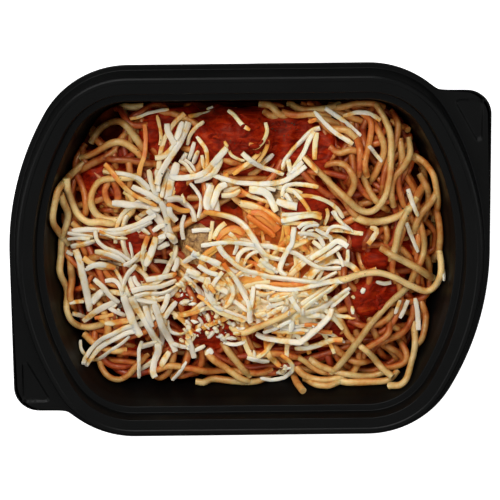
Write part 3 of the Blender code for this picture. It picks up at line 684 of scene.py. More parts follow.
def room(x, y):
    """Free distance in plan to the wall, the pits and the meatballs."""
    margin = NOODLE_HALF + NOODLE_MARGIN + ROOM_SPARE
    free = free_of(x, y, margin, BED_SHOULDER_Z, PITS, BED_SHOULDER_Z)
    for middle, half_width in balls:
        free = min(free, math.hypot(x - middle.x, y - middle.y) - half_width + NOODLE_MARGIN)
    return free


def wander(rng, x, y, lengths, most_bend, space):
    """A plan route of steady curls that turns aside where the space ahead runs out."""
    length = rng.uniform(*lengths)
    bend = rng.uniform(-most_bend, most_bend)
    heading = rng.uniform(0, 2 * math.pi)
    points = [(x, y)]
    for _ in range(int(length / STRAND_STEP)):
        bend = min(max(bend + rng.gauss(0, BEND_DRIFT), -TIGHTEST_BEND), TIGHTEST_BEND)
        heading += bend * STRAND_STEP
        ahead = [(space(x + LOOK_AHEAD * math.cos(heading + turn),
                        y + LOOK_AHEAD * math.sin(heading + turn)), turn)
                 for turn in (0.0, TURN_ASIDE, -TURN_ASIDE)]
        if ahead[0][0] < TOO_CLOSE:
            heading += max(ahead)[1]
        x += math.cos(heading) * STRAND_STEP
        y += math.sin(heading) * STRAND_STEP
        if space(x, y) < TOO_DEEP:
            break
        points.append((x, y))
    return np.array(points)


def start_in(rng, space):
    """A random plan point where there is space."""
    for _ in range(START_TRIES):
        x, y = rng.uniform(-START_X, START_X) * MM, rng.uniform(-START_Y, START_Y) * MM
        if space(x, y) > 0:
            break
    return x, y


def new_tree(name, given, labels):
    """A Geometry Nodes tree with its named inputs, and the sockets that give them."""
    tree = bpy.data.node_groups.new(name, "GeometryNodeTree")
    for label, kind in ((given, "Geometry"), *labels, ("Unevenness", "Float"),
                        ("Grain scale", "Float"), ("Finish", "Material")):
        tree.interface.new_socket(label, in_out="INPUT", socket_type="NodeSocket" + kind)
    tree.interface.new_socket("Surface", in_out="OUTPUT", socket_type="NodeSocketGeometry")
    return tree, put(tree, "NodeGroupInput").outputs


def kept_value(tree, name, kind="FLOAT"):
    """The value that the points of a mesh carry under a name."""
    return put(tree, "GeometryNodeInputNamedAttribute", {"Name": name},
               data_type=kind).outputs["Attribute"]


def roughen(tree, given, surface, detail, middle):
    """The last nodes of a tree: its surface is made uneven and smooth-shaded, and gets its material."""
    spot = put(tree, "GeometryNodeInputPosition")
    outward = put(tree, "GeometryNodeInputNormal")
    grain = speckle(tree, spot.outputs[0], given["Grain scale"], detail)
    swing = calc(tree, "MULTIPLY", calc(tree, "SUBTRACT", grain, middle), given["Unevenness"])
    shift = put(tree, "ShaderNodeVectorMath", {0: outward.outputs[0], "Scale": swing},
                operation="SCALE")
    uneven = put(tree, "GeometryNodeSetPosition", {"Geometry": surface, "Offset": shift.outputs[0]})
    smooth = put(tree, "GeometryNodeSetShadeSmooth", {"Geometry": uneven.outputs[0]})
    whole = put(tree, "GeometryNodeRealizeInstances", {"Geometry": smooth.outputs[0]})
    painted = put(tree, "GeometryNodeSetMaterial", {"Geometry": whole.outputs[0],
                                                    "Material": given["Finish"]})
    put(tree, "NodeGroupOutput", {"Surface": painted.outputs[0]})


def strand_tree(name, flat):
    """Geometry Nodes that sweep a round or a flat section along routes given as loose edges."""
    labels = [("Half width", "Float"), ("Half thickness", "Float")]
    if not flat:
        labels.append(("Sides", "Int"))
    tree, given = new_tree(name, "Routes", labels)
    half_width, half_thick = given["Half width"], given["Half thickness"]
    curve = put(tree, "GeometryNodeMeshToCurve", {"Mesh": given["Routes"]})
    curve = put(tree, "GeometryNodeSetCurveNormal", {"Curve": curve.outputs[0]}, mode="Z_UP")
    curve = put(tree, "GeometryNodeSetCurveTilt", {"Curve": curve.outputs[0],
                                                   "Tilt": kept_value(tree, "twist")})
    if flat:
        outline = put(tree, "GeometryNodeCurvePrimitiveQuadrilateral",
                      {"Width": calc(tree, "MULTIPLY", half_width, 2.0),
                       "Height": calc(tree, "MULTIPLY", half_thick, 2.0)})
        section = put(tree, "GeometryNodeFilletCurve",
                      {"Curve": outline.outputs[0], "Count": 2,
                       "Radius": calc(tree, "MULTIPLY", half_thick, 0.75)}, mode="POLY")
        corner_spot = put(tree, "GeometryNodeInputPosition")
        lane = put(tree, "ShaderNodeSeparateXYZ", {"Vector": corner_spot.outputs[0]})
        section = put(tree, "GeometryNodeStoreNamedAttribute",
                      {"Geometry": section.outputs[0], "Name": "across",
                       "Value": calc(tree, "DIVIDE", lane.outputs["X"], half_width)},
                      data_type="FLOAT", domain="POINT")
    else:
        outline = put(tree, "GeometryNodeCurvePrimitiveCircle",
                      {"Resolution": given["Sides"], "Radius": 1.0})
        size = put(tree, "ShaderNodeCombineXYZ", {"X": half_width, "Y": half_thick, "Z": 1.0})
        section = put(tree, "GeometryNodeTransform", {"Geometry": outline.outputs["Curve"],
                                                      "Scale": size.outputs[0]})
    swept = put(tree, "GeometryNodeCurveToMesh",
                {"Curve": curve.outputs[0], "Profile Curve": section.outputs[0],
                 "Scale": kept_value(tree, "girth"), "Fill Caps": True})
    roughen(tree, given, swept.outputs[0], 2.0, 0.5)
    return tree


def grow(name, seed_mesh, tree, sizes):
    """The piece that a tree makes of a mesh of routes or points."""
    holder = new_object(name, seed_mesh)
    modifier = holder.modifiers.new(name, "NODES")
    modifier.node_group = tree
    for item in tree.interface.items_tree:
        if item.item_type == "SOCKET" and item.in_out == "INPUT" and item.name in sizes:
            modifier[item.identifier] = sizes[item.name]
    graph = bpy.context.evaluated_depsgraph_get()
    mesh = bpy.data.meshes.new_from_object(holder.evaluated_get(graph))
    holder.modifiers.clear()
    holder.data = mesh
    mesh.name = name
    return holder


def sweep_strands(name, strands, tree, sizes):
    """One mesh of all the strands; each strand has its points and its values at every point."""
    edges = []
    first = 0
    for strand in strands:
        count = len(strand["points"])
        edges += [(first + i, first + i + 1) for i in range(count - 1)]
        first += count
    routes = bpy.data.meshes.new(name + "_routes")
    routes.from_pydata(np.concatenate([strand["points"] for strand in strands]).tolist(), edges, [])
    for key in ("girth", "twist", "stain", "tone"):
        values = np.concatenate([np.broadcast_to(strand[key], len(strand["points"]))
                                 for strand in strands])
        routes.attributes.new(key, "FLOAT", "POINT").data.foreach_set(
            "value", values.astype(np.float32))
    return grow(name, routes, tree, sizes)


def make_strand(x, y, z, spacing, rng, stain, girth_swing=0.06, twist=0.0):
    """A strand's points, thinned to the spacing, with its girth, stain and tone."""
    line = np.stack([x, y, z], axis=1)
    length = np.concatenate([[0.0], np.cumsum(np.linalg.norm(np.diff(line, axis=0), axis=1))])
    count = max(int(length[-1] / spacing), 3)
    marks = np.linspace(0.0, length[-1], count + 1)
    points = np.stack([np.interp(marks, length, line[:, axis]) for axis in range(3)], axis=1)
    girth = 1 + girth_swing * np.sin(marks / GIRTH_WAVE + rng.uniform(0, ANY_TURN))
    girth *= rng.uniform(*GIRTH_RANGE)
    return {"points": points, "girth": girth, "twist": twist,
            "stain": np.interp(marks, length, np.broadcast_to(stain, len(x))),
            "tone": rng.random()}


def noodle(x, y, z, spacing, rng, stain_here):
    """A strand of spaghetti; painted shade makes it darker where it lies in a shaded corner."""
    strand = make_strand(x, y, z, spacing, rng, stain_here)
    strand["tone"] = DARKEST_NOODLE + (1 - DARKEST_NOODLE) * strand["tone"]
    along_x, along_y, _ = strand["points"].T
    for u, v, reach, darker in SHADED_CORNERS:
        away = away_from(along_x, along_y, u, v, BED_SHOULDER_Z, reach * MM)
        strand["tone"] = strand["tone"] - darker * (1 - ease(away))
    return strand


rng = random.Random(LOWER_SEED)
lower = []
for _ in range(LOWER_TRIES):
    if len(lower) == LOWER_COUNT:
        break
    route = wander(rng, *start_in(rng, room), LOWER_LENGTH, LOWER_BEND, room)
    if len(route) < LOWER_SHORTEST:
        continue
    x, y = route.T
    z = rest(x, y, NOODLE_HALF, LOWER_LIFT, LOWER_STIFFNESS)
    if np.max(z - bed_height(x, y)) > LOWER_PILE:
        continue
    lower.append(noodle(*settle(x, y, z), LOWER_SPACING, rng, rng.uniform(*LOWER_STAIN)))


def marked(tree, name):
    """The value that a piece's points carry under a name."""
    return put(tree, "ShaderNodeAttribute", attribute_name=name).outputs["Fac"]


def stain_and_side_shade(tree, blotch, on_sides):
    """Stain of a strand: its own, changed by blotches, and more on its sides, partly sauce and partly
    painted shade.
    """
    facing = put(tree, "ShaderNodeNewGeometry")
    upright = put(tree, "ShaderNodeSeparateXYZ", {"Vector": facing.outputs["Normal"]})
    # Sides that turn away from the light above get more stain than the top: partly sauce, partly painted
    # shade.
    sauce_and_side_shade = mapped(tree, upright.outputs["Z"], 0.85, 0.1, 0.0, on_sides)
    return calc(tree, "ADD", calc(tree, "ADD", blotch, marked(tree, "stain")), sauce_and_side_shade)


pasta, tree, shader, place = new_surface("cooked_spaghetti")
wide = speckle(tree, place, 85.0, 3.0, Roughness=0.55)
fine = speckle(tree, place, 620.0, 3.0, Roughness=0.6)
both = put(tree, "ShaderNodeMix", {"Factor": 0.3, 2: wide, 3: fine}).outputs[0]
# A noodle's sides get more stain than its top: partly sauce, partly painted shade.
stain = stain_and_side_shade(tree, mapped(tree, both, 0.32, 0.68, -0.34, 0.34), 0.30)
tint = colour_ramp(tree, stain, (0.0, 0.84, 0.61, 0.27), (0.30, 0.74, 0.45, 0.148),
                   (0.52, 0.66, 0.28, 0.062), (0.76, 0.56, 0.13, 0.018), (1.0, 0.34, 0.035, 0.006))
# A noodle's tone darkens its colour: partly at random, partly painted shade in the corners.
tone_and_corner_shade = mapped(tree, marked(tree, "tone"), 0.0, 1.0, 0.42, 1.0)
toned = tint_mix(tree, 1.0, tint, tone_and_corner_shade, "MULTIPLY")
speck_on = mapped(tree, speckle(tree, place, 1500.0, 1.0), 0.70, 0.76, 0.0, 0.7)
plug(tree, shader, {
    "Base Color": tint_mix(tree, speck_on, toned, (0.30, 0.07, 0.015, 1.0)),
    "Roughness": mapped(tree, fine, 0.3, 0.7, 0.30, 0.52),
    "Normal": bump(tree, fine, 0.25, 0.3 * MM),
    "Subsurface Weight": 0.35,
    "Subsurface Radius": (1.0, 0.5, 0.2),
    "Subsurface Scale": 1.8 * MM,
    "Specular Tint": (1.0, 0.88, 0.72, 1.0),
    "Coat Weight": 0.07,
    "Coat Roughness": 0.22})

noodle_tree = strand_tree("noodles_on_routes", flat=False)
noodle_sizes = {"Half width": NOODLE_HALF, "Half thickness": NOODLE_HALF, "Grain scale": 260.0,
                "Finish": pasta}
lower_noodles = sweep_strands("lower_noodles", lower, noodle_tree, {
    **noodle_sizes, "Sides": LOWER_SIDES, "Unevenness": 0.25 * MM})
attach(lower_noodles, "root")
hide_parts("spaghetti")

# The tomato sauce: thick and wet, with pulp, ladled over the middle. It fills the gaps between the
# noodles there, and stands above them in pools, given as the picture's middle, half sizes and turn.
POOLS = (
    # u, v, half length, half width in mm, turn in degrees, rise in mm
    (256, 128, 30, 12, 2, 1.0),
    (218, 140, 15, 14, 0, 0.8),
    (298, 142, 14, 11, 20, 0.6),
    (160, 138, 10, 14, 10, 0.0),
    (103, 182, 12, 14, 0, -0.6),
    (170, 118, 14, 5, 0, -0.5),
    (138, 245, 7, 10, 0, 0.6),
    (180, 193, 5, 8, 0, 0.4),
    (322, 152, 7, 11, -20, 0.3),
    (312, 205, 9, 9, -30, 0.3),
    (357, 236, 6, 8, 0, 0.6),
    (372, 299, 14, 10, 15, 0.7),
    (379, 260, 9, 5.5, 0, 0.5),
    (345, 330, 14, 7, 20, -0.4),
    (212, 330, 16, 12, 0, -0.2),
    (191, 301, 7.5, 9, 0, -0.1),
    (262, 262, 34, 28, 0, -0.3),
)
BARE_SIDES = (
    # u, v and radius in pixels, how far the sauce sinks in mm: the bare side of the first meatball,
    # and a place by it where the sauce is level but no loose cheese lies
    (198, 240, 15, 4.0),
    (190, 258, 9, 3.0),
    (187, 300, 13, 0.0),
)
SHEET_CELL = 0.7 * MM
SHEET_X = 84 * MM
SHEET_Y = 63 * MM
SAUCE_THICK = 1.2 * MM
SAUCE_SINK = 5.0 * MM
SAUCE_BELOW = 1.1 * MM
SAUCE_LOWEST = 0.5 * MM
SAUCE_OFF_WALL = 2.5 * MM
SAUCE_RISE_START = 4 * MM
SAUCE_RISE_SPAN = 14 * MM
SAUCE_SEED = 7
POOL_CORE = 0.55
POOL_EDGE = 0.6
POOL_REACH = 3
BARE_CORE = 1.2
BARE_STEEP = 2
WRINKLE = 0.20 * MM
WRINKLE_PASSES = 6
PULP_LUMP = 0.30 * MM
LUMP_PASSES = 22
FAT_SPOT = (262, 258)
FAT_REACH = (31 * MM, 22 * MM)
FAT_SHARE = 0.55
FAT_CORE = 0.5
FAT_EDGE = 0.6
POOL_LEVEL = 25 * MM
BARE_LEVEL = 29 * MM


def blur(field, passes):
    """Evens out a map; each pass spreads it by about 0.7 of a cell."""
    for _ in range(passes):
        for axis in (0, 1):
            field = (field * 2 + np.roll(field, 1, axis) + np.roll(field, -1, axis)) / 4
    return field


def widen(field, reach):
    """Each cell takes the highest value within reach cells."""
    for axis in (0, 1):
        field = np.max([np.roll(field, step, axis) for step in range(-reach, reach + 1)], axis=0)
    return field


def pools_at(x, y):
    """At plan points: 1 in a sauce pool, falling to 0 past its edge; and how far it stands up."""
    share, stands = np.zeros_like(x), np.zeros_like(x)
    for u, v, half_length, half_width, turn, height in POOLS:
        middle_x, middle_y = plan(u, v, POOL_LEVEL)
        c, s = math.cos(math.radians(turn)), math.sin(math.radians(turn))
        dx, dy = x - middle_x, y - middle_y
        away = np.hypot((dx * c + dy * s) / (half_length * MM), (dy * c - dx * s) / (half_width * MM))
        here = 1 - ease((away - POOL_CORE) / POOL_EDGE)
        stands = np.where(here > share, height * MM, stands)
        share = np.maximum(share, here)
    return share, stands


def ragged_map(rng, passes):
    """A map of random lumps, their height 1 on average; more passes make them wider."""
    field = blur(rng.standard_normal(top.shape), passes)
    return field / field.std()


share, stands = pools_at(GRID_X, GRID_Y)
inward = lip_distance(GRID_X, GRID_Y) - wall_inset(BED_SHOULDER_Z)
off_wall = ease((inward - SAUCE_RISE_START) / SAUCE_RISE_SPAN)
between = blur(top, 24) - SAUCE_SINK + (SAUCE_SINK - SAUCE_BELOW) * off_wall
pooled = blur(widen(top, POOL_REACH), 12) + blur(stands, 8)
level = blur(between * (1 - share) + pooled * share, 3)
for u, v, pixels, tone_and_corner_shade in PITS:
    away = away_from(GRID_X, GRID_Y, u, v, BED_SHOULDER_Z, pixels * PIXEL)
    level -= tone_and_corner_shade * MM * (1 - ease(away - PIT_CORE))
for u, v, pixels, tone_and_corner_shade in BARE_SIDES:
    away = away_from(GRID_X, GRID_Y, u, v, BARE_LEVEL, pixels * PIXEL)
    level -= tone_and_corner_shade * MM * (1 - ease(BARE_STEEP * away - BARE_CORE))
sauce_rng = np.random.default_rng(SAUCE_SEED)
level += (WRINKLE * ragged_map(sauce_rng, WRINKLE_PASSES)
          + PULP_LUMP * ragged_map(sauce_rng, LUMP_PASSES))
lowest = np.maximum(bed_height(GRID_X, GRID_Y) - SAUCE_LOWEST, FLOOR_Z + SAUCE_THICK + BED_GAP)
level = np.maximum(level, lowest)

sauce, tree, shader, place = new_surface("thick_tomato_sauce")
drawn = put(tree, "ShaderNodeMapping", {"Vector": place, "Rotation": (0.0, 0.0, 0.5),
                                       "Scale": (0.45, 1.6, 1.0)})
swirl = speckle(tree, drawn.outputs[0], 190.0, 5.0, Roughness=0.62, Distortion=1.2)
tint = colour_ramp(tree, swirl, (0.30, 0.085, 0.0022, 0.0006), (0.45, 0.19, 0.0060, 0.0012),
                   (0.58, 0.33, 0.016, 0.0022), (0.80, 0.52, 0.060, 0.007))
fatty = tint_mix(tree, marked(tree, "fat"), tint, (0.66, 0.19, 0.03, 1.0))
fleck_on = mapped(tree, speckle(tree, place, 900.0, 2.0), 0.66, 0.74, 0.0, 0.6)
plug(tree, shader, {
    "Base Color": tint_mix(tree, fleck_on, fatty, (0.035, 0.012, 0.004, 1.0)),
    "Roughness": mapped(tree, swirl, 0.3, 0.7, 0.44, 0.30),
    "Normal": bump(tree, swirl, 0.75, 1.0 * MM),
    "Specular IOR Level": 0.16,
    "Specular Tint": (1.0, 0.66, 0.42, 1.0),
    "Subsurface Weight": 0.15,
    "Subsurface Radius": (1.0, 0.14, 0.05),
    "Subsurface Scale": 2.0 * MM})


def sheet_on(name, field, covered, thick, material):
    """A closed sheet that follows a map of heights over the plan points that covered accepts."""
    columns = np.arange(-SHEET_X, SHEET_X + 0.1 * MM, SHEET_CELL)
    lines = np.arange(-SHEET_Y, SHEET_Y + 0.1 * MM, SHEET_CELL)
    sheet_x, sheet_y = np.meshgrid(columns, lines)
    sheet_z = read_top(sheet_x, sheet_y, field)
    held = covered(sheet_x, sheet_y)
    cells = [(j, i) for j in range(len(lines) - 1) for i in range(len(columns) - 1)
             if held[j:j + 2, i:i + 2].all()]
    used = sorted({(j + dj, i + di) for j, i in cells for dj in (0, 1) for di in (0, 1)})
    index = {cell: number for number, cell in enumerate(used)}
    points = [(sheet_x[c], sheet_y[c], sheet_z[c]) for c in used]
    points += [(x, y, z - thick) for x, y, z in points]
    faces = []
    border = {}
    for j, i in cells:
        a, b, c, d = index[j, i], index[j, i + 1], index[j + 1, i + 1], index[j + 1, i]
        faces.append((a, b, c, d))
        faces.append(tuple(number + len(used) for number in (d, c, b, a)))
        for edge in ((a, b), (b, c), (c, d), (d, a)):
            if (edge[1], edge[0]) in border:
                del border[edge[1], edge[0]]
            else:
                border[edge] = True
    faces += [(a, a + len(used), b + len(used), b) for a, b in border]
    return new_piece(name, points, faces, material)


def mark_points(piece, name, value):
    """Gives every point of a piece a value worked out from its plan place."""
    spots = np.array([point.co for point in piece.data.vertices])
    piece.data.attributes.new(name, "FLOAT", "POINT").data.foreach_set(
        "value", value(spots[:, 0], spots[:, 1]).astype(np.float32))


def under_sauce(x, y):
    """Whether the sauce layer reaches a plan point."""
    return lip_distance(x, y) > wall_inset(BED_SHOULDER_Z) + SAUCE_OFF_WALL


def fat_at(x, y):
    """How much cheese fat has melted into the sauce: most under the mound."""
    fat_x, fat_y = plan(*FAT_SPOT, POOL_LEVEL)
    near = np.hypot((x - fat_x) / FAT_REACH[0], (y - fat_y) / FAT_REACH[1])
    return FAT_SHARE * (1 - ease((near - FAT_CORE) / FAT_EDGE))


sauce_layer = sheet_on("sauce_layer", level, under_sauce, SAUCE_THICK, sauce)
mark_points(sauce_layer, "fat", fat_at)
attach(sauce_layer, "root")
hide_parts("tomato_sauce")
top = np.maximum(top, level)

# The upper noodles: the spaghetti that shows, paler where the sauce has run off. Each one follows the
# picture, given as its stain and then the points (u, v) it passes, and lies on what is below it.
UPPER_NOODLES = (
    # left end, from below upwards
    (0.1, 118, 106, 130, 107, 143, 108),
    (0.3, 91, 144, 99, 130, 112, 122, 123, 123, 134, 136, 142, 147, 146, 158),
    (0.3, 80, 160, 96, 152, 112, 143, 124, 143, 137, 152, 142, 159, 150, 170),
    (0.4, 78, 173, 89, 165, 104, 158, 116, 152),
    (0.6, 104, 160, 121, 160, 140, 162, 155, 166),
    (0.1, 104, 173, 121, 174, 136, 178, 147, 189, 155, 200),
    (0.5, 110, 168, 114, 180, 118, 196, 116, 212),
    (0.5, 128, 160, 130, 176, 128, 196, 132, 214),
    (0.3, 110, 181, 105, 190, 107, 200, 112, 205, 120, 207),
    (0.12, 139, 178, 115, 178, 99, 182, 91, 197, 94, 211, 105, 219, 121, 219, 132, 211, 132, 198, 124, 193),
    (0.2, 84, 165, 75, 171, 64, 182, 54, 195, 52, 212, 53, 224, 61, 235, 68, 246),
    (0.12, 66, 180, 67, 188, 72, 202, 78, 214, 88, 222, 102, 222, 118, 226),
    (0.2, 60, 196, 64, 204, 68, 214, 66, 226, 62, 238),
    (0.4, 72, 225, 84, 232, 98, 234, 112, 240),
    (0.15, 61, 240, 61, 253, 59, 270, 61, 277, 67, 291, 66, 309, 73, 323, 89, 327, 105, 323, 116, 318),
    (0.5, 88, 262, 98, 256, 110, 256, 124, 262),
    (0.45, 70, 262, 72, 280, 70, 296, 74, 312),
    (0.5, 96, 300, 104, 312, 108, 326, 106, 342),
    (0.4, 84, 336, 96, 344, 110, 350, 126, 352),
    (0.4, 98, 356, 100, 363, 105, 374, 116, 380, 128, 375, 137, 365, 148, 356),
    (0.6, 174, 352, 172, 362, 168, 372, 160, 378, 152, 376),
    (0.6, 190, 350, 186, 362, 180, 372, 172, 380),
    # near side
    (0.55, 150, 374, 168, 366, 188, 368, 207, 371, 231, 370, 252, 373, 272, 372),
    (0.3, 196, 386, 203, 385, 211, 379, 231, 381, 252, 382, 270, 379),
    (0.4, 205, 352, 214, 360, 226, 368, 240, 378, 252, 384),
    (0.3, 222, 344, 232, 356, 243, 369, 250, 378),
    (0.2, 292, 372, 297, 384, 303.5, 397),
    (0.4, 286, 352, 303, 360, 314, 368, 330, 376),
    (0.3, 304, 382, 322, 386, 340, 386),
    (0.25, 293, 366, 306, 376, 322, 380, 339, 378, 349, 376),
    (0.2, 309, 361, 326, 368, 346, 374, 368, 376, 384, 372, 396, 366),
    (0.3, 339, 383, 362, 382, 386, 381, 400, 374),
    (0.6, 252, 356, 268, 354, 284, 354, 300, 360),
    # far side, under the sauce's edge
    (0.2, 260, 104, 271, 106, 279, 114, 290, 118),
    (0.3, 288, 104, 303, 110, 322, 109, 340, 106),
    (0.4, 282, 114, 298, 115, 314, 114, 330, 118),
    (0.6, 334, 110, 354, 104, 371, 101, 386, 104),
    (0.5, 390, 123, 400, 126, 411, 130),
    (0.35, 316, 120, 326, 120, 336, 124, 350, 134),
    (0.3, 221, 159.5, 230, 162, 241.5, 165.5),
    (0.4, 225, 174.5, 236.5, 169.5, 246.5, 165.5, 259, 161),
    (0.3, 264, 113, 270, 116, 277.5, 118.5),
    # right end, from below upwards
    (0.6, 340, 120, 348, 138, 352, 156, 353, 171, 350, 186),
    (0.5, 372, 120, 380, 134, 384, 150, 378, 168, 370, 184),
    (0.6, 392, 112, 398, 124, 396, 140, 390, 156, 384, 176, 382, 196),
    (0.55, 400, 140, 402, 160, 398, 180, 402, 200, 410, 216, 425, 238),
    (0.4, 413, 157, 424, 162, 433, 173, 437, 189, 438, 205, 434, 222),
    (0.5, 425, 186, 416, 197, 408, 212, 404, 228),
    (0.45, 436, 210, 440, 226, 440, 246, 436, 262),
    (0.4, 420, 176, 428, 190, 428, 206, 424, 222),
    (0.5, 330, 149, 339, 153, 352, 150, 366, 156),
    (0.6, 326, 176, 332, 188, 344, 200, 352, 212, 366, 226),
    (0.5, 360, 168, 366, 184, 374, 198, 388, 212),
    (0.7, 355, 136, 360, 149, 360, 165, 358, 178),
    (0.35, 322, 168, 334, 163, 346, 166, 354, 179, 352, 190, 346, 200, 348, 208),
    (0.55, 362, 114, 371, 122, 370, 139, 365, 162, 367, 178),
    (0.3, 328, 130, 346, 130, 356, 140),
    (0.6, 404, 218, 402, 234, 396, 250, 392, 268, 396, 284),
    (0.45, 420, 222, 424, 240, 422, 258, 414, 274, 408, 290),
    (0.35, 384, 224, 387, 234, 386, 246),
    (0.6, 372, 230, 366, 240, 364, 250),
    (0.3, 354, 219, 374, 222, 394, 218, 408, 210, 417, 200),
    (0.3, 409, 139, 410, 154, 403, 167, 394, 178, 391, 194, 394, 208),
    (0.25, 303, 157, 317, 170, 333, 186, 346, 198, 358, 209, 368, 212, 378, 207, 386, 194, 390, 174,
     391, 152, 390, 133, 382, 114, 373, 101),
    (0.25, 409, 209, 400, 227, 395, 248, 390, 262),
    (0.3, 438, 194, 428, 206, 418, 219, 414, 234),
    # right, below the sauce pool
    (0.6, 384, 346, 397, 352, 403, 360, 396, 368),
    (0.5, 398, 339, 406, 352, 405, 362, 390, 367, 376, 364),
    (0.65, 414, 303, 411, 320, 402, 333, 386, 340, 372, 346),
    (0.65, 390, 322, 387, 335, 370, 346, 356, 352),
    (0.5, 349, 322, 368, 326, 386, 320, 394, 311),
    (0.5, 330, 344, 342, 354, 356, 362, 372, 362),
    (0.4, 420, 300, 426, 316, 424, 334, 418, 350),
    (0.08, 414, 323, 415, 345, 411, 365, 405, 382, 390, 390),
    (0.2, 381, 250, 402, 260, 422, 271, 433, 280),
    (0.08, 333, 309, 342, 323, 349, 336, 358, 344, 371, 355, 382, 368, 393, 379),
    (0.08, 409, 288, 394, 299, 374, 320, 358, 341, 346, 357, 331, 375),
)
UPPER_SPACING = 1.1 * MM
UPPER_SIDES = 12
UPPER_SEED = 11
UPPER_LIFT = NOODLE_HALF * 0.55
TRACED_STIFFNESS = 24
POOL_STAIN = 0.25
LOOSE_COUNT = 34
LOOSE_LENGTH = (25 * MM, 60 * MM)
LOOSE_BEND = 70
LOOSE_SHORTEST = 8
LOOSE_LIFT = NOODLE_HALF * 0.3
LOOSE_STIFFNESS = 20
LOOSE_PILE = LOWER_PILE + 2 * MM
LOOSE_STAIN = (0.45, 0.9)
SAUCED_MIDDLE = (58 * MM, 44 * MM)
TRACED_LEVEL = 26 * MM
TRACED_TRIES = 3
LEAN_TRIES = 5
LEAN_TOP = LEDGE_Z - 3 * MM
LEAN_GAIN = 0.12


def smooth_line(flat, spacing):
    """Points about spacing apart on a smooth curve through u, v, u, v and so on."""
    points = np.array(flat, float).reshape(-1, 2)
    points = np.vstack([2 * points[0] - points[1], points, 2 * points[-1] - points[-2]])
    line = []
    for before, start, end, after in zip(points, points[1:], points[2:], points[3:]):
        count = max(int(math.dist(start, end) / spacing), 1)
        t = np.arange(count)[:, None] / count
        line.append(start + 0.5 * t * (end - before)
                    + t ** 2 * (before - 2.5 * start + 2 * end - 0.5 * after)
                    + t ** 3 * (1.5 * (start - end) + 0.5 * (after - before)))
    line.append(points[-2][None])
    return np.concatenate(line)


def lean(u, v, z, half_width):
    """Raises a strand seen past the wall's foot along the lines of sight, so it leans on the wall."""
    z = z.copy()
    for _ in range(LEAN_TRIES):
        short = wall_inset(z) + half_width + WALL_GAP - lip_distance(*plan(u, v, z))
        above = wall_inset(z + MM) + half_width + WALL_GAP - lip_distance(*plan(u, v, z + MM))
        gain = (short - above) / MM
        rise = np.where((short > 0) & (gain > LEAN_GAIN), short / np.maximum(gain, LEAN_GAIN), 0.0)
        z += np.minimum(rise, np.maximum(LEAN_TOP - z, 0.0))
    return even_out(z, LAST_PASSES)


def lay_traced(flat, half_width, lift, stiffness):
    """A strand seen at the given picture points, laid on the ground map and inside the wall."""
    line = smooth_line(flat, STRAND_STEP * FOCAL_PIXELS / VIEW_DISTANCE)
    u, v = line.T
    z = np.full(len(line), TRACED_LEVEL)
    for _ in range(TRACED_TRIES):
        x, y = keep_in(*plan(u, v, z), z, half_width)
        z = lean(u, v, rest(x, y, half_width, lift, stiffness), half_width)
    x, y = keep_in(*plan(u, v, z), z, half_width)
    return x, y, z


def open_pasta(x, y):
    """Free distance to the wall and the pits, for noodles that may cross the meatballs."""
    return free_of(x, y, NOODLE_HALF + NOODLE_MARGIN, BED_SHOULDER_Z, PITS, BED_SHOULDER_Z)


rng = random.Random(UPPER_SEED)
upper = []
for _ in range(LOOSE_COUNT):
    start_x, start_y = start_in(rng, open_pasta)
    if math.hypot(start_x / SAUCED_MIDDLE[0], start_y / SAUCED_MIDDLE[1]) < 1:
        continue
    route = wander(rng, start_x, start_y, LOOSE_LENGTH, LOOSE_BEND, open_pasta)
    if len(route) < LOOSE_SHORTEST:
        continue
    x, y = route.T
    z = rest(x, y, NOODLE_HALF, LOOSE_LIFT, LOOSE_STIFFNESS)
    if np.max(z - bed_height(x, y)) > LOOSE_PILE:
        continue
    upper.append(noodle(*settle(x, y, z), UPPER_SPACING, rng, rng.uniform(*LOOSE_STAIN)))
for stain_level, *flat in UPPER_NOODLES:
    x, y, z = settle(*lay_traced(flat, NOODLE_HALF, UPPER_LIFT, TRACED_STIFFNESS))
    stain_here = stain_level + POOL_STAIN * pools_at(x, y)[0]
    upper.append(noodle(x, y, z, UPPER_SPACING, rng, stain_here))
top_noodle_sizes = {**noodle_sizes, "Sides": UPPER_SIDES, "Unevenness": 0.22 * MM}
upper_noodles = sweep_strands("upper_noodles", upper, noodle_tree, top_noodle_sizes)
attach(upper_noodles, "root")
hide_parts("spaghetti")

# The shredded cheese: white low-moisture cheese grated into flat strips about 2.5 by 1.4 mm, heaped
# over the meatballs and dropped loosely at the left. Strips that touch sauce are stained orange.
SHRED_HALF_WIDTH = 1.25 * MM
SHRED_HALF_THICK = 0.75 * MM
SHRED_SPACING = 1.0 * MM
SHRED_SEED = 21
SHRED_LENGTH = (16 * MM, 34 * MM)
SHRED_BEND = 60
SHRED_SHORTEST = 8
SHRED_PIXELS = (4.2, 6.2)
SHRED_WALL_Z = 20 * MM
SHRED_MARGIN = 1.0 * MM
SHRED_LEVEL = 28 * MM
SHRED_GIRTH_SWING = 0.10
SHRED_TWIST = 0.35
SHRED_CURL = 0.7
SHRED_LIFT = -SHRED_HALF_THICK * 0.1
SHRED_STIFFNESS = 8
SHRED_POOL_STAIN = 0.10
NARROWEST_TIP = 0.55
TIP_POINTS = 1.6
TRACED_WIDTH = 0.93
TRACED_SHRED_LIFT = SHRED_HALF_THICK * 0.45
TRACED_SHRED_STIFFNESS = 12
